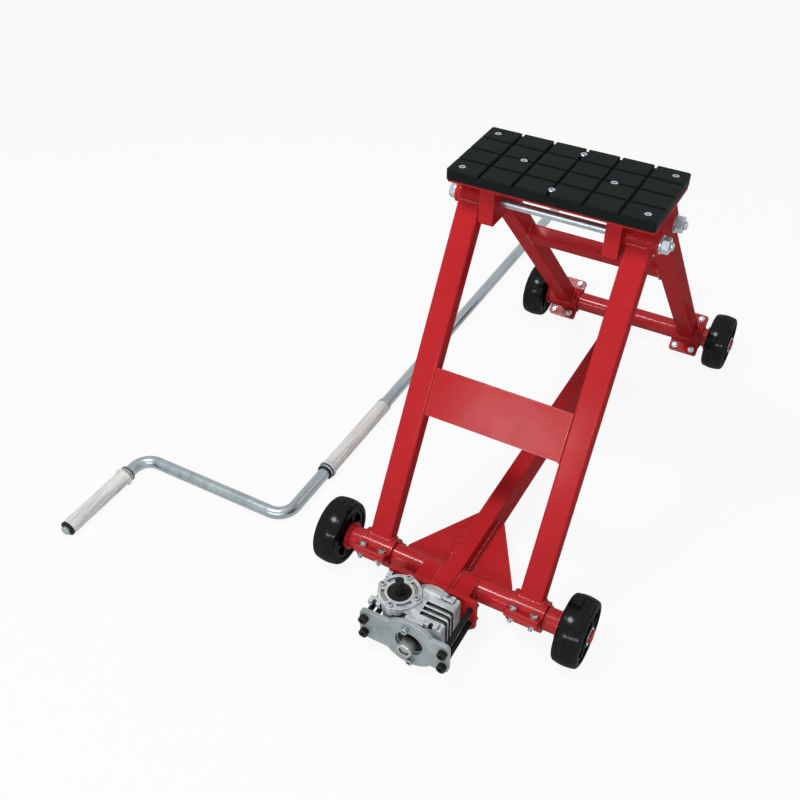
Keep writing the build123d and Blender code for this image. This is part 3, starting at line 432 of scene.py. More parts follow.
def die_casting(name="die_casting"):
    finishes = bpy.context.scene.lift_finishes
    details = bpy.context.scene.lift_details
    casting = Finish(name, {"Metallic": 0.3, "Specular IOR Level": 0.2})
    cloud = casting.noise(0.014, 4.0, 0.6)
    grain = casting.noise(0.0011, 2.0, 0.6, seed=2.2)
    edge = casting.edges(2.2 * details.edge_radius)
    hollow = casting.hollow(0.018)
    slot = casting.hollow(0.005)
    patch = casting.span(cloud, 0.32, 0.68)
    skin = casting.mix(patch, shade(finishes.casting, 0.72), shade(finishes.casting, 1.28))
    # Darker metal in hollows and narrow slots, from ambient occlusion, is painted shade
    hollow_shaded = casting.mix(casting.span(hollow, 0.88, 0.45, 0.0, 0.95), skin, CASTING_HOLLOW_SHADE)
    slot_shaded = casting.mix(casting.span(slot, 0.80, 0.40, 0.0, 0.9), hollow_shaded, CASTING_SLOT_SHADE)
    # Pale metal along open edges is a painted highlight
    rim = edge * casting.span(hollow, 0.45, 0.8)
    casting.set("Base Color", casting.mix(rim, slot_shaded, CASTING_EDGE_HIGHLIGHT))
    casting.set("Roughness", 0.40 + 0.20 * cloud)
    casting.set("Normal", casting.bump(grain, 0.00012, 0.7, casting.rounded(1.3 * details.edge_radius)))
    return casting.material


def sawn_plate(name="sawn_plate"):
    finishes = bpy.context.scene.lift_finishes
    details = bpy.context.scene.lift_details
    plate = Finish(name, {"Metallic": 0.3, "Specular IOR Level": 0.2})
    cloud = plate.noise(0.045, 4.0, 0.6)
    lines = plate.noise(0.0009, 2.0, 0.6, stretch=(0.06, 1, 1))
    edge = plate.edges(1.5 * details.edge_radius)
    patch = plate.span(cloud, 0.3, 0.7)
    skin = plate.mix(patch, shade(finishes.plate, 0.78), shade(finishes.plate, 1.35))
    # Pale metal along sharp edges is a painted highlight
    plate.set("Base Color", plate.mix(edge * 0.7, skin, PLATE_EDGE_HIGHLIGHT))
    plate.set("Roughness", 0.40 + 0.14 * cloud + 0.08 * lines)
    plate.set("Normal", plate.bump(lines, 0.00003, 0.5, plate.rounded(details.edge_radius)))
    return plate.material


def black_oxide(name="black_oxide"):
    details = bpy.context.scene.lift_details
    oxide = Finish(name, {"Specular IOR Level": 0.14})
    cloud = oxide.noise(0.006, 3.0)
    edge = oxide.edges(details.edge_radius)
    skin = oxide.mix(cloud, OXIDE_DARK, OXIDE_PALE)
    oxide.set("Base Color", oxide.mix(edge * 0.4, skin, OXIDE_WORN))
    oxide.set("Roughness", 0.44 + 0.2 * cloud)
    oxide.set("Normal", oxide.bump(cloud, 0.00003, 0.5, oxide.rounded(0.6 * details.edge_radius)))
    return oxide.material


def pad_rubber(name="pad_rubber"):
    finishes = bpy.context.scene.lift_finishes
    details = bpy.context.scene.lift_details
    rubber = Finish(name, {"Specular IOR Level": 0.09})
    cloud = rubber.noise(0.045, 4.0, 0.6)
    grain = rubber.noise(0.0010, 3.0, 0.65, seed=1.9)
    chalk = rubber.noise(0.007, 5.0, 0.7, seed=6.6)
    edge = rubber.edges(1.6 * details.edge_radius)
    body = rubber.mix(cloud, shade(finishes.rubber, 0.75), shade(finishes.rubber, 1.35))
    bloom = rubber.span(chalk, 0.55, 0.80, 0.0, 0.20) + edge * 0.25
    rubber.set("Base Color", rubber.mix(bloom, body, RUBBER_BLOOM))
    rubber.set("Roughness", 0.62 + 0.25 * cloud)
    rubber.set("Normal", rubber.bump(grain, 0.00012, 0.7, rubber.rounded(details.edge_radius)))
    return rubber.material


def roller_plastic(name, rough, edge_wear_and_highlight=0.15):
    finishes = bpy.context.scene.lift_finishes
    details = bpy.context.scene.lift_details
    plastic = Finish(name, {"Specular IOR Level": 0.0, "Coat Roughness": 0.16, "Coat IOR": 2.0})
    cloud = plastic.noise(0.03, 3.0)
    grain = plastic.noise(0.0018, 2.0, seed=4.4)
    scuff = plastic.noise(0.006, 6.0, 0.75, stretch=(1, 0.35, 0.35), seed=7.7)
    marks = plastic.span(scuff, 0.56, 0.74, 0.0, 0.45)
    edge = plastic.edges(1.8 * details.edge_radius)
    body = plastic.mix(cloud, shade(finishes.plastic, 0.7), shade(finishes.plastic, 1.4))
    marked = plastic.mix(marks * 0.6, body, PLASTIC_SCUFF)
    # Paler plastic along the edges is wear, and a painted highlight where the share is large, as on the
    # rollers' centres
    plastic.set("Base Color", plastic.mix(edge * edge_wear_and_highlight, marked, PLASTIC_EDGE_WEAR_AND_HIGHLIGHT))
    plastic.set("Roughness", rough + 0.10 * cloud + 0.30 * marks)
    plastic.set("Coat Weight", plastic.span(scuff, 0.4, 0.7, 0.13, 0.05))
    plastic.set("Normal", plastic.bump(grain, 0.00003, 0.5, plastic.rounded(details.edge_radius)))
    return plastic.material


def sleeve_plastic(name="sleeve_plastic"):
    finishes = bpy.context.scene.lift_finishes
    sleeve = Finish(name, {"Specular IOR Level": 0.2})
    streak = sleeve.noise(0.004, 5.0, 0.7, stretch=(1, 0.07, 1), seed=2.9)
    smudge = sleeve.noise(0.03, 5.0, 0.65, seed=9.4)
    grain = sleeve.noise(0.0009, 2.0)
    dirt = sleeve.span(streak, 0.48, 0.66, 0.0, 0.54) + sleeve.span(smudge, 0.58, 0.80, 0.0, 0.18)
    body = sleeve.mix(smudge, shade(finishes.sleeve, 0.94), shade(finishes.sleeve, 1.06))
    sleeve.set("Base Color", sleeve.mix(dirt, body, SLEEVE_DIRT))
    sleeve.set("Roughness", 0.46 + 0.2 * smudge)
    sleeve.set("Normal", sleeve.bump(streak * 0.7 + grain * 0.3, 0.00008, 0.6, sleeve.rounded(0.001)))
    return sleeve.material


def turned_metal(name, colour, rough=0.28):
    details = bpy.context.scene.lift_details
    metal = Finish(name, {"Metallic": 0.7})
    rings = metal.noise(0.0012, 2.0, 0.6, stretch=(0.25, 1, 0.25))
    cloud = metal.noise(0.01, 3.0, 0.6)
    hollow = metal.hollow(0.025, local=False)
    body = metal.mix(cloud, shade(colour, 0.7), shade(colour, 1.1))
    # Darker metal where other solids close round it, from ambient occlusion, is painted shade
    shadow = metal.span(hollow, 0.70, 0.35, 0.0, 0.96)
    metal.set("Base Color", metal.mix(shadow, body, TURNED_HOLLOW_SHADE))
    metal.set("Roughness", rough + 0.22 * cloud)
    metal.set("Normal", metal.bump(rings, 0.00003, 0.6, metal.rounded(0.6 * details.edge_radius)))
    return metal.material


def seal_rubber(name="seal_rubber"):
    seal = Finish(name, {"Specular IOR Level": 0.15})
    grain = seal.noise(0.0012, 3.0, 0.6)
    cloud = seal.noise(0.012, 3.0)
    seal.set("Base Color", seal.mix(cloud, OXIDE_DARK, SEAL_PALE))
    seal.set("Roughness", 0.45 + 0.3 * cloud)
    seal.set("Normal", seal.bump(grain, 0.0001, 0.6, seal.rounded(0.0006)))
    return seal.material


def coat(material, *names):
    """Gives a finish to solids of the frame."""
    for name in names:
        node = frame["nodes"][name]
        if not node.material_slots:
            node.data.materials.append(material)
        for slot in node.material_slots:
            slot.material = material


# Mesh tools

def settle(shape):
    """Sorts a shape's points, edges and faces, whose order would else differ from run to run."""
    points = sorted(shape.verts, key=lambda vert: vert.co[:])
    for rank, vert in enumerate(points):
        vert.index = rank
    shape.verts.sort()
    for parts in (shape.edges, shape.faces):
        ordered = sorted(parts, key=lambda part: sorted(vert.index for vert in part.verts))
        for rank, part in enumerate(ordered):
            part.index = rank
        parts.sort()


def keep(name, shape, finishes, body, sharp=35.0):
    """Turns a finished shape into a piece that moves with a body."""
    bmesh.ops.remove_doubles(shape, verts=shape.verts, dist=1e-6)
    bmesh.ops.recalc_face_normals(shape, faces=shape.faces)
    settle(shape)
    mesh = bpy.data.meshes.new(name)
    shape.to_mesh(mesh)
    shape.free()
    mesh.shade_smooth()
    mesh.set_sharp_from_angle(angle=radians(sharp))
    for finish in finishes:
        mesh.materials.append(finish)
    piece = bpy.data.objects.new(name, mesh)
    bpy.context.scene.collection.objects.link(piece)
    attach(piece, body)
    return piece


def stamp(shape, pattern, places):
    """Adds a copy of a pattern to a shape at every place, and frees the pattern."""
    mesh = bpy.data.meshes.new("stamp")
    for place in places:
        copy = pattern.copy()
        copy.transform(place)
        copy.to_mesh(mesh)
        copy.free()
        shape.from_mesh(mesh)
    pattern.free()
    bpy.data.meshes.remove(mesh)


def turned(profile, steps=32):
    """Spins a profile of (radius, height) points round the z axis."""
    shape = bmesh.new()
    points = [shape.verts.new((radius, 0, height)) for radius, height in profile]
    lines = [shape.edges.new(pair) for pair in zip(points, points[1:])]
    bmesh.ops.spin(
        shape, geom=points + lines, cent=(0, 0, 0), axis=(0, 0, 1), dvec=(0, 0, 0),
        angle=2 * pi, steps=steps, use_merge=True)
    bmesh.ops.remove_doubles(shape, verts=shape.verts, dist=1e-6)
    settle(shape)
    return shape


def hexagon(flats, height, bore=0.0):
    """A nut or bolt head on z = 0, with its corners turned off."""
    corner = flats / sqrt(3)
    land = 0.475 * flats
    slope = (corner - land) * tan(radians(30))
    shape = turned([
        (bore / 2, 0), (land, 0), (corner, slope),
        (corner, height - slope), (land, height), (bore / 2, height),
    ], 48)
    if bore:
        ring = [edge for edge in shape.edges if edge.is_boundary]
        bmesh.ops.bridge_loops(shape, edges=ring)
    for side in range(6):
        out = Vector((cos(side * pi / 3), sin(side * pi / 3), 0))
        cut = bmesh.ops.bisect_plane(
            shape, geom=shape.verts[:] + shape.edges[:] + shape.faces[:], dist=1e-7,
            plane_co=out * flats / 2, plane_no=out, clear_outer=True)
        rim = [part for part in cut["geom_cut"] if isinstance(part, bmesh.types.BMEdge)]
        bmesh.ops.edgeloop_fill(shape, edges=rim)
    return shape


def screwed_rod(radius, plain, length, pitch, steps=20):
    """A rod down from z = 0 whose lower end carries a real thread."""
    core = radius - 0.61 * pitch
    shape = turned([
        (0, 0), (radius, 0), (radius, -plain), (core, -plain - pitch / 2),
        (core, -length + pitch / 2), (core - pitch / 2, -length), (0, -length),
    ], steps)
    turns = int((length - plain) / pitch) - 1
    start = -length + pitch / 2
    thread = bmesh.new()
    ridge = ((core, start), (radius, start + pitch / 2), (core, start + pitch))
    points = [thread.verts.new((reach, 0, height)) for reach, height in ridge]
    lines = [thread.edges.new(pair) for pair in zip(points, points[1:])]
    bmesh.ops.spin(
        thread, geom=points + lines, cent=(0, 0, 0), axis=(0, 0, 1), dvec=(0, 0, pitch / steps),
        angle=2 * pi * turns, steps=steps * turns, use_merge=False)
    stamp(shape, thread, [Matrix.Identity(4)])
    return shape


def block(shape, low, high, bevel):
    """Adds a box between two corners with its edges rounded."""
    middle = (Vector(low) + Vector(high)) / 2
    size = Vector(high) - Vector(low)
    place = Matrix.Translation(middle) @ Matrix.Diagonal((*size, 1))
    made = bmesh.ops.create_cube(shape, size=1.0, matrix=place)
    sides = list(dict.fromkeys(edge for vert in made["verts"] for edge in vert.link_edges))
    bmesh.ops.bevel(
        shape, geom=sides, offset=bevel, affect="EDGES", segments=2, profile=0.5,
        clamp_overlap=True, material=-1)


def droplets(shape, spots, largest, chance):
    """Adds small round drops of weld spatter."""
    for spot in spots:
        size = chance.uniform(0.35, 1.0) * largest
        bmesh.ops.create_icosphere(shape, subdivisions=1, radius=size, matrix=Matrix.Translation(spot))


def leg_axes(axle, pivot):
    """A leg's own axes on its axle: x across, z up along the leg."""
    up = (pivot - axle).normalized()
    across = Vector((1, 0, 0))
    axes = Matrix((across, up.cross(across), up)).transposed().to_4x4()
    axes.translation = axle
    return axes


def evenly(route, pitch):
    """Points along a route, half a ripple apart."""
    spots = [route[0]]
    spare = 0.0
    for start, end in zip(route, route[1:]):
        run = (end - start).length
        along = pitch / 2 - spare
        while along <= run:
            spots.append(start.lerp(end, along / run))
            along += pitch / 2
        spare = run - (along - pitch / 2)
    return spots


def lay_bead(shape, route, radius, chance):
    """Runs a rippled weld bead along a route by growing ring after ring."""
    details = bpy.context.scene.lift_details
    spots = evenly([Vector(point) for point in route], details.bead_pitch)
    rings = []
    for count, spot in enumerate(spots):
        ahead = spots[min(count + 1, len(spots) - 1)] - spots[max(count - 1, 0)]
        ripple = (1.0, 0.84)[count % 2] * chance.uniform(0.93, 1.07)
        if count in (0, len(spots) - 1):
            ripple = 0.35
        turn = ahead.to_track_quat("Z", "X").to_matrix().to_4x4()
        rings.append(Matrix.Translation(spot) @ turn @ Matrix.Scale(radius * ripple, 4))
    made = bmesh.ops.create_circle(
        shape, cap_ends=True, segments=details.bead_sides, radius=1.0, matrix=rings[0])
    rim = list(dict.fromkeys(edge for vert in made["verts"] for edge in vert.link_edges))
    for before, after in zip(rings, rings[1:]):
        grown = bmesh.ops.extrude_edge_only(shape, edges=rim)["geom"]
        points = [part for part in grown if isinstance(part, bmesh.types.BMVert)]
        fresh = set(points)
        lines = [part for part in grown if isinstance(part, bmesh.types.BMEdge)]
        rim = [line for line in lines if set(line.verts) <= fresh]
        bmesh.ops.transform(shape, matrix=after @ before.inverted(), verts=points)
    bmesh.ops.edgeloop_fill(shape, edges=rim)


def foot_route(x, width, depth):
    """Round a leg's foot, where it meets its round saddle."""
    sweep = [depth * (step / 8 - 0.5) for step in range(9)]
    right = [(x + width / 2, y, sqrt(SADDLE_RADIUS**2 - y**2)) for y in sweep]
    left = [(x - width / 2, y, sqrt(SADDLE_RADIUS**2 - y**2)) for y in reversed(sweep)]
    return right + left + right[:1]


def axle_arc(x, angles):
    """Points round the front axle's tube, at one place along it."""
    turns = [radians(angle) for angle in angles]
    y, z = front_axle.y, front_axle.z
    return [(x, y + axle_radius * cos(turn), z + axle_radius * sin(turn)) for turn in turns]


# Operators, one for each group of pieces

class LIFT_OT_red_enamel(Operator):
    """Paints the welded frame, the axles and the platform"""
    bl_idname = "lift.red_enamel"
    bl_label = "Red Enamel"

    def execute(self, context):
        coat(
            red_enamel(),
            "platform_plate", "platform_brackets", "platform_lugs",
            "front_leg_left", "front_leg_right", "front_cross_plate",
            "rear_leg_left", "rear_leg_right", "rear_cross_bar", "rear_saddles", "rear_saddle_caps",
            "gusset_plates", "central_tube", "gearbox_bracket",
        )
        coat(
            red_enamel("axle_enamel", gloss=3.5),
            "front_saddles", "front_saddle_caps", "front_axle_tube", "front_spindles",
            "rear_axle_tube", "rear_spindles",
        )
        return {"FINISHED"}


class LIFT_OT_weld_beads(Operator):
    """Lays rippled weld beads where the frame's pieces meet"""
    bl_idname = "lift.weld_beads"
    bl_label = "Weld Beads"

    def neck_seams(self, leg, length):
        """Round the legs' feet, and across their necks under the pivot barrels."""
        x, width, depth = leg
        neck = length - sqrt(BARREL_RADIUS**2 - (depth / 2)**2)
        inner = x - width / 2
        outer = x + width / 2 - NECK_INSET
        seams = []
        for side in (-1, 1):
            seams.append(foot_route(side * x, width, depth))
            for face in (-depth / 2, depth / 2):
                seams.append([(side * inner, face, neck), (side * outer, face, neck)])
        return seams

    def cross_plate_seams(self):
        """Behind the ends of the front cross plate, and under their corners."""
        x, width, depth = FRONT_LEG
        inner = x - width / 2
        rear = -depth / 2 + CROSS_PLATE_DEPTH
        inset, front = PLATE_CORNER
        low, high = CROSS_PLATE_LOW, CROSS_PLATE_HIGH
        seams = []
        for side in (-1, 1):
            seams.append([(side * inner, rear, low), (side * inner, rear, high)])
            corner = side * (inner - inset)
            seams.append([(corner, -depth / 2 + front, low), (corner, rear, low)])
        return seams

    def cross_bar_seams(self):
        """Round both ends of the rear cross bar."""
        x, width, _ = REAR_LEG
        inner = x - width / 2
        middle = rear_length - CROSS_BAR_DROP
        low, high = middle - CROSS_BAR_HALF, middle + CROSS_BAR_HALF
        front, rear = CROSS_BAR_FRONT, CROSS_BAR_REAR
        corners = ((front, low), (rear, low), (rear, high), (front, high), (front, low))
        return [[(side * inner, y, z) for y, z in corners] for side in (-1, 1)]

    def platform_seams(self):
        """Along the hanging brackets and the outer lugs, under the platform."""
        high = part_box("platform_brackets")[1]
        top = high.z
        half = high.y
        run = half - BRACKET_INSET
        seams = []
        for side in (-1, 1):
            for edge in (high.x, high.x - BRACKET_WIDTH):
                seams.append([(side * edge, -run, top), (side * edge, run, top)])
            lug_seat = side * (lug_face - LUG_THICKNESS)
            seams.append([(lug_seat, -LUG_TOP / 2, top), (lug_seat, LUG_TOP / 2, top)])
            seams.append([(side * (high.x - BRACKET_WIDTH), -half, top), (side * high.x, -half, top)])
        return seams

    def base_seams(self):
        """Along the gussets, round the webs and the tube on the axle, and behind the gearbox's mount."""
        low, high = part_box("gusset_plates")
        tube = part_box("central_tube")[1]
        y, z = front_axle.y, front_axle.z
        seat = y + sqrt(axle_radius**2 - GUSSET_HALF**2)
        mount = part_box("gearbox_bracket")[0].y + MOUNT_THICKNESS
        roof = z + ROOF_RISE
        seams = []
        for side in (-1, 1):
            wall = side * tube.x
            for level in (low.z, high.z):
                seams.append([(wall, seat, level), (side * high.x, seat, level)])
                seams.append([(wall, seat, level), (wall, high.y, level)])
            for web in WEB_FACES:
                seams.append(axle_arc(side * web, range(95, 270, 15)))
                seams.append([(side * web, mount, z - WEB_HALF), (side * web, mount, z + WEB_HALF)])
        for side in (-1, 1):
            wall = side * tube.x
            seams.append(axle_arc(wall, range(160, 0, -12)))
            seams.append([(wall, mount, roof), (wall, y, roof)])
        seams.append([(-tube.x, mount, tube.z), (tube.x, mount, tube.z)])
        return seams

    def rear_axle_seams(self):
        """Across and down the sliding tube's end on the rear axle."""
        low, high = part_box("inner_tube")
        y, z = rear_axle.y, rear_axle.z
        top = y - sqrt(axle_radius**2 - (high.z - z)**2)
        foot = y - sqrt(max(axle_radius**2 - (low.z - z)**2, 0))
        end = ((foot, low.z), (y - axle_radius, z), (top, high.z))
        sides = [[(side * high.x, *point) for point in end] for side in (-1, 1)]
        return [[(-high.x, top, high.z), (high.x, top, high.z)], *sides]

    def leg_drops(self, axes, leg, length, chance):
        """Spatter on the legs' pivot barrels and saddles."""
        x, width, depth = leg
        drops = []
        for side in (-1, 1):
            for _ in range(16):
                turn = radians(chance.uniform(-15, 60))
                across = side * (x + chance.uniform(-0.45, 0.55) * width)
                drops.append((across, -BARREL_RADIUS * cos(turn), length + BARREL_RADIUS * sin(turn)))
            for _ in range(14):
                face = chance.choice((-1, 1)) * (depth / 2 + chance.uniform(0.0015, 0.006))
                across = side * x + chance.uniform(-0.6, 0.6) * width
                drops.append((across, face, sqrt(SADDLE_RADIUS**2 - face**2)))
        return [axes @ Vector(drop) for drop in drops]

    def base_drops(self, chance):
        """Spatter on the gussets beside the tube, and on the axle."""
        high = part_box("gusset_plates")[1]
        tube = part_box("central_tube")[1]
        drops = []
        for side in (-1, 1):
            for _ in range(34):
                reach = chance.uniform(0.003, 0.011)
                along = chance.uniform(front_axle.y + 0.02, high.y - 0.02)
                drops.append((side * (tube.x + reach), along, high.z))
            for _ in range(26):
                angle = chance.uniform(20, 165)
                reach = chance.uniform(0.002, 0.010)
                drops += axle_arc(side * (tube.x + reach), [angle])
        return drops

    def execute(self, context):
        details = context.scene.lift_details
        enamel = red_enamel("weld_enamel", peel=0.0002, gloss=4.0)
        front = leg_axes(front_axle, front_pivot)
        rear = leg_axes(rear_axle, rear_pivot)
        front_seams = self.neck_seams(FRONT_LEG, front_length) + self.cross_plate_seams()
        rear_seams = self.neck_seams(REAR_LEG, rear_length) + self.cross_bar_seams()
        groups = {
            "front_frame": [[front @ Vector(point) for point in seam] for seam in front_seams],
            "rear_frame": [[rear @ Vector(point) for point in seam] for seam in rear_seams],
            "platform": self.platform_seams(),
            "base": self.base_seams(),
            "rear_axle": self.rear_axle_seams(),
        }
        chance = random.Random(11)
        spatter = {
            "front_frame": self.leg_drops(front, FRONT_LEG, front_length, chance),
            "rear_frame": self.leg_drops(rear, REAR_LEG, rear_length, chance),
            "base": self.base_drops(chance),
        }
        for body, seams in groups.items():
            shape = bmesh.new()
            bead = details.bead_radius * (BASE_BEAD if body == "base" else 1.0)
            for seam in seams:
                lay_bead(shape, seam, bead, chance)
            droplets(shape, spatter.get(body, []), LARGEST_DROP * bead, chance)
            keep(f"{body}_welds", shape, [enamel], body, sharp=60.0)
        return {"FINISHED"}


class LIFT_OT_load_pad(Operator):
    """Finishes the rubber load pad and its screws"""
    bl_idname = "lift.load_pad"
    bl_label = "Load Pad"

    def execute(self, context):
        coat(pad_rubber(), "rubber_pad")
        coat(bright_zinc("pad_screw_zinc", tint=1.3, rough=0.2), "pad_screws")
        return {"FINISHED"}


class LIFT_OT_fasteners(Operator):
    """Replaces the plain bolts and nuts with chamfered hexagons and real threads"""
    bl_idname = "lift.fasteners"
    bl_label = "Bolts and Nuts"

    def saddle_places(self, axes, leg_x, height):
        half = SADDLE_BOLT_PITCH / 2
        spots = [(side * leg_x + step, reach, height) for side in (-1, 1) for step in (-half, half)
                 for reach in (-SADDLE_BOLT_REACH, SADDLE_BOLT_REACH)]
        return [axes @ Matrix.Translation(spot) for spot in spots]

    def saddle_set(self, end, axes, leg_x, zinc, pitch):
        heads = self.saddle_places(axes, leg_x, FLANGE_TOP)
        bolts = bmesh.new()
        stamp(bolts, turned([
            (SADDLE_BOLT_RADIUS, 0), (SADDLE_WASHER, 0),
            (SADDLE_WASHER, SADDLE_WASHER_HEIGHT), (SADDLE_BOLT_RADIUS, SADDLE_WASHER_HEIGHT),
        ], 28), heads)
        raised = [place @ Matrix.Translation((0, 0, SADDLE_WASHER_HEIGHT)) for place in heads]
        stamp(bolts, hexagon(SADDLE_FLATS, SADDLE_HEAD), raised)
        length = 2 * FLANGE_TOP + SADDLE_BOLT_TAIL
        stamp(bolts, screwed_rod(SADDLE_BOLT_RADIUS, SADDLE_BOLT_PLAIN, length, pitch, 16), heads)
        piece = keep(f"{end}_saddle_screws", bolts, [zinc], f"{end}_frame")
        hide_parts(f"{end}_saddle_bolts")
        nuts = bmesh.new()
        turned_over = Matrix.Rotation(pi, 4, "X")
        under = [place @ turned_over for place in self.saddle_places(axes, leg_x, -FLANGE_TOP)]
        stamp(nuts, hexagon(SADDLE_FLATS, SADDLE_NUT, 2 * SADDLE_BOLT_RADIUS), under)
        piece = keep(f"{end}_saddle_hex_nuts", nuts, [zinc], f"{end}_frame")
        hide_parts(f"{end}_saddle_nuts")

    def pivot_set(self, zinc, pitch):
        ends = (front_pivot, rear_pivot)
        along = Matrix.Rotation(pi / 2, 4, "Y")
        back = Matrix.Rotation(-pi / 2, 4, "Y")
        bolts = bmesh.new()
        left = [Matrix.Translation((-washer_face, pin.y, pin.z)) @ back for pin in ends]
        plain = 2 * washer_face - PIVOT_THREAD_INSET
        length = 2 * washer_face + PIVOT_TAIL
        stamp(bolts, hexagon(PIVOT_FLATS, PIVOT_HEAD), left)
        stamp(bolts, screwed_rod(PIVOT_RADIUS, plain, length, pitch, 28), left)
        piece = keep("pivot_screws", bolts, [zinc], "platform")
        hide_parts("pivot_bolts")
        nuts = bmesh.new()
        right = [Matrix.Translation((washer_face, pin.y, pin.z)) @ along for pin in ends]
        stamp(nuts, hexagon(PIVOT_FLATS, PIVOT_NUT, 2 * PIVOT_RADIUS), right)
        piece = keep("pivot_hex_nuts", nuts, [zinc], "platform")
        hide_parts("pivot_nuts")

    def execute(self, context):
        details = context.scene.lift_details
        zinc = bright_zinc("bolt_zinc", tint=1.45, rough=0.22)
        coat(zinc, "pivot_washers", "front_wheel_clips", "rear_wheel_clips")
        front = leg_axes(front_axle, front_pivot)
        rear = leg_axes(rear_axle, rear_pivot)
        self.saddle_set("front", front, FRONT_LEG[0], zinc, details.saddle_pitch)
        self.saddle_set("rear", rear, REAR_LEG[0], zinc, details.saddle_pitch)
        self.pivot_set(zinc, details.pivot_pitch)
        return {"FINISHED"}


class LIFT_OT_rollers(Operator):
    """Crowns the treads of the four moulded rollers and finishes them"""
    bl_idname = "lift.rollers"
    bl_label = "Rollers"

    def tread(self, place, plastic):
        """A tyre whose tread swells a little towards its middle."""
        low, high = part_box(place.format("tyre"))
        half = (high.x - low.x) / 2
        radius = (high.z - low.z) / 2
        flat = half - TYRE_SHOULDER
        crown = [(radius - TYRE_CROWN * (step / 6)**2, flat * step / 6) for step in range(-6, 7)]
        turn = [radians(angle) for angle in range(15, 91, 15)]
        base = radius - TYRE_CROWN - TYRE_SHOULDER
        shoulder = [(base + TYRE_SHOULDER * cos(angle), flat + TYRE_SHOULDER * sin(angle)) for angle in turn]
        rounded = [(reach, -height) for reach, height in reversed(shoulder)]
        seat = [(TYRE_SEAT, half), (TYRE_SEAT, -half)]
        shape = turned(seat[1:] + rounded + crown + shoulder + seat, 96)
        shape.transform(Matrix.Translation((low + high) / 2) @ Matrix.Rotation(pi / 2, 4, "Y"))
        piece = keep(place.format("tread"), shape, [plastic], place.format("roller"))
        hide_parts(place.format("tyre"))

    def execute(self, context):
        places = [f"{end}_{{}}_{side}" for end in ("front", "rear") for side in ("left", "right")]
        plastic = roller_plastic("roller_tread", rough=0.18)
        for place in places:
            self.tread(place, plastic)
        centre = roller_plastic("roller_centre", rough=0.30, edge_wear_and_highlight=0.7)
        coat(centre, *[place.format("wheel") for place in places])
        return {"FINISHED"}


class LIFT_OT_gearbox(Operator):
    """Finishes the die-cast worm gearbox and adds the strips along its top edges"""
    bl_idname = "lift.gearbox"
    bl_label = "Gearbox"

    def trim(self, casting):
        """Stepped strips along the front and rear of the case's top."""
        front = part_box("gearbox_housing")[0].y
        rear = front + CASE_DEPTH
        top = case_top + TRIM_HEIGHT
        shape = bmesh.new()
        for start, end in ((front, front + TRIM_WIDTH), (rear - TRIM_WIDTH, rear)):
            block(shape, (TRIM_START, start, case_top - TRIM_RISE), (TRIM_END, end, top), TRIM_BEVEL)
            low = (TRIM_START, start + TRIM_STEP, case_top)
            block(shape, low, (TRIM_END, end - TRIM_STEP, top + TRIM_RISE), TRIM_STEP_BEVEL)
        keep("gearbox_trim", shape, [casting], "base")

    def execute(self, context):
        casting = die_casting()
        coat(casting, "gearbox_housing", "gearbox_cover", "input_flange")
        self.trim(casting)
        coat(sawn_plate(), "gearbox_front_plate")
        coat(black_oxide(), "gearbox_bolts", "gearbox_nuts", "worm_shaft")
        coat(seal_rubber(), "input_seal", "gearbox_bearings")
        zinc = bright_zinc("face_screw_zinc", tint=1.3, rough=0.25)
        coat(zinc, "gearbox_face_screws", "input_flange_screws")
        return {"FINISHED"}


class LIFT_OT_drive_line(Operator):
    """Finishes the screw, the worm wheel, the drive nut and the sliding tube"""
    bl_idname = "lift.drive_line"
    bl_label = "Drive Line"

    def execute(self, context):
        coat(turned_metal("turned_steel", STEEL), "lead_screw")
        coat(turned_metal("gear_bronze", BRONZE), "worm_wheel", "drive_nut")
        coat(bright_zinc("slide_zinc", tint=0.95, rough=0.3), "inner_tube")
        return {"FINISHED"}


class LIFT_OT_crank(Operator):
    """Finishes the loose crank and its two sleeves"""
    bl_idname = "lift.crank"
    bl_label = "Crank"

    def clips(self):
        """Black clips on both sides of the collars next to the crank's bend."""
        places = []
        for name, end, way in (("crank_grip_sleeve", 1, 1), ("crank_shaft_sleeve", 0, -1)):
            low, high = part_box(name)
            seat = (low + high) / 2
            seat.y = (low, high)[end].y
            outward = Matrix.Translation(seat) @ Matrix.Rotation(-way * pi / 2, 4, "X")
            places += [outward @ Matrix.Translation((0, 0, step)) for step in CLIP_STEPS]
        ring = turned([
            (CLIP_BORE, 0), (CLIP_RADIUS, 0),
            (CLIP_RADIUS, CLIP_WIDTH), (CLIP_BORE, CLIP_WIDTH), (CLIP_BORE, 0),
        ], 40)
        shape = bmesh.new()
        stamp(shape, ring, places)
        keep("crank_clips", shape, [black_oxide("clip_oxide")], "crank")

    def tip(self, zinc):
        """The screw in the grip's end, on a black washer."""
        low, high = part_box("crank_end_screw")
        seat = Vector(((low.x + high.x) / 2, low.y + TIP_HEAD + TIP_WASHER, (low.z + high.z) / 2))
        outward = Matrix.Translation(seat) @ Matrix.Rotation(pi / 2, 4, "X")
        shape = bmesh.new()
        stamp(shape, turned([
            (0, 0), (TIP_RADIUS, 0), (TIP_RADIUS, 0.7 * TIP_WASHER),
            (0.9 * TIP_RADIUS, TIP_WASHER), (0, TIP_WASHER),
        ], 40), [outward])
        for face in shape.faces:
            face.material_index = 1
        stamp(shape, hexagon(TIP_FLATS, TIP_HEAD), [outward @ Matrix.Translation((0, 0, TIP_WASHER))])
        piece = keep("crank_tip_screw", shape, [zinc, black_oxide("tip_washer")], "crank")
        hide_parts("crank_end_screw")

    def execute(self, context):
        zinc = bright_zinc("crank_zinc", tint=1.15, rough=0.22, draw=(1, 0.06, 1))
        coat(zinc, "crank_rod", "crank_socket")
        coat(sleeve_plastic(), "crank_grip_sleeve", "crank_shaft_sleeve")
        self.tip(zinc)
        self.clips()
        return {"FINISHED"}


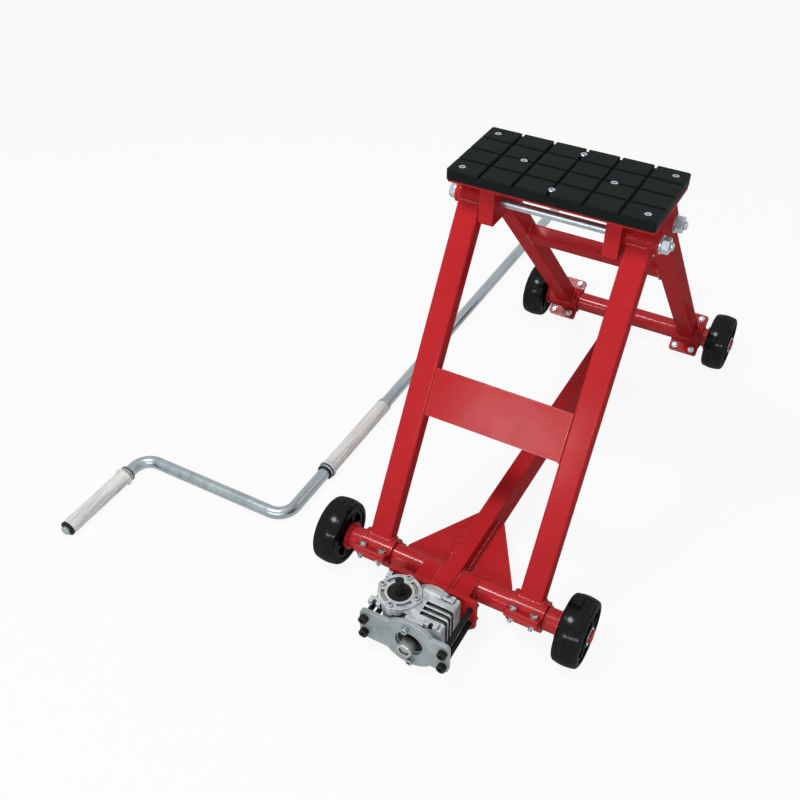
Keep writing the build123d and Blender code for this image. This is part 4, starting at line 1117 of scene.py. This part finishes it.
class LIFT_OT_studio(Operator):
    """Sets up the pale floor, the soft lamps and the camera"""
    bl_idname = "lift.studio"
    bl_label = "Studio"

    def lamp(self, name, power, width, height, place, roll):
        light = bpy.data.lights.new(name, "AREA")
        light.energy = power
        light.shape = "RECTANGLE"
        light.size = width
        light.size_y = height
        lamp = bpy.data.objects.new(name, light)
        lamp.location = place
        aim = LAMP_AIM - Vector(place)
        turn = aim.to_track_quat("-Z", "Y") @ Quaternion((0, 0, 1), radians(roll))
        lamp.rotation_euler = turn.to_euler()
        bpy.context.scene.collection.objects.link(lamp)

    def floor(self, studio):
        paper = Finish("floor_paper", {"Roughness": 0.9, "Specular IOR Level": 0.1})
        fibre = paper.noise(0.004, 3.0)
        paper.set("Base Color", paper.mix(fibre, *PAPER))
        glow = paper.node("Emission", None, {"Color": WHITE, "Strength": 1.0})
        share = paper.backdrop_rays() * FLOOR_GLOW
        lit = Wire(paper, paper.shader.outputs[0])
        both = paper.node("MixShader", None, {0: share, 1: lit, 2: glow})
        paper.plug(paper.tree.nodes["Material Output"].inputs["Surface"], both)
        shape = bmesh.new()
        bmesh.ops.create_grid(shape, x_segments=1, y_segments=1, size=studio.floor_size / 2)
        mesh = bpy.data.meshes.new("floor")
        shape.to_mesh(mesh)
        shape.free()
        mesh.materials.append(paper.material)
        floor = bpy.data.objects.new("floor", mesh)
        bpy.context.scene.collection.objects.link(floor)

    def sky(self, studio):
        world = bpy.data.worlds.new("studio_sky")
        world.use_nodes = True
        bpy.context.scene.world = world
        air = NodeTree(world.node_tree)
        air.tree.nodes.remove(air.tree.nodes["Background"])
        even = air.node("Background", None, {"Color": WHITE, "Strength": studio.sky})
        white = air.node("Background", None, {"Color": WHITE, "Strength": 1.0})
        both = air.node("MixShader", None, {0: air.backdrop_rays(), 1: even, 2: white})
        air.plug(air.tree.nodes["World Output"].inputs["Surface"], both)

    def camera(self, studio):
        view = bpy.data.cameras.new("studio_camera")
        view.sensor_width = 36.0
        view.lens = studio.lens
        view.clip_end = 100.0
        camera = bpy.data.objects.new("studio_camera", view)
        camera.location = studio.eye
        camera.rotation_euler = (pi / 2 - studio.tilt, 0, studio.turn)
        bpy.context.scene.collection.objects.link(camera)
        bpy.context.scene.camera = camera

    def execute(self, context):
        studio = context.scene.lift_studio
        context.scene.view_settings.view_transform = "Standard"
        self.floor(studio)
        self.sky(studio)
        self.camera(studio)
        for name, power, width, height, place, roll in LAMPS:
            self.lamp(name, getattr(studio, power), width, height, place, roll)
        return {"FINISHED"}


# Panel and registration

class LIFT_PT_panel(Panel):
    bl_label = "Car Lift"
    bl_idname = "LIFT_PT_panel"
    bl_space_type = "VIEW_3D"
    bl_region_type = "UI"
    bl_category = "Car Lift"

    def draw(self, context):
        column = self.layout.column()
        for group in (context.scene.lift_finishes, context.scene.lift_details, context.scene.lift_studio):
            box = column.box()
            for name in group.__annotations__:
                box.prop(group, name)
        for step in STEPS:
            column.operator(step.bl_idname)


STEPS = (
    LIFT_OT_studio,
    LIFT_OT_red_enamel,
    LIFT_OT_weld_beads,
    LIFT_OT_load_pad,
    LIFT_OT_fasteners,
    LIFT_OT_rollers,
    LIFT_OT_gearbox,
    LIFT_OT_drive_line,
    LIFT_OT_crank,
)
GROUPS = (LiftFinishes, LiftDetails, LiftStudio)


def register():
    for made in (*GROUPS, *STEPS, LIFT_PT_panel):
        bpy.utils.register_class(made)
    bpy.types.Scene.lift_finishes = PointerProperty(type=LiftFinishes)
    bpy.types.Scene.lift_details = PointerProperty(type=LiftDetails)
    bpy.types.Scene.lift_studio = PointerProperty(type=LiftStudio)


def unregister():
    del bpy.types.Scene.lift_studio
    del bpy.types.Scene.lift_details
    del bpy.types.Scene.lift_finishes
    for made in reversed((*GROUPS, *STEPS, LIFT_PT_panel)):
        bpy.utils.unregister_class(made)


def main():
    register()
    for step in STEPS:
        group, name = step.bl_idname.split(".")
        getattr(getattr(bpy.ops, group), name)()


if __name__ == "__main__":
    main()
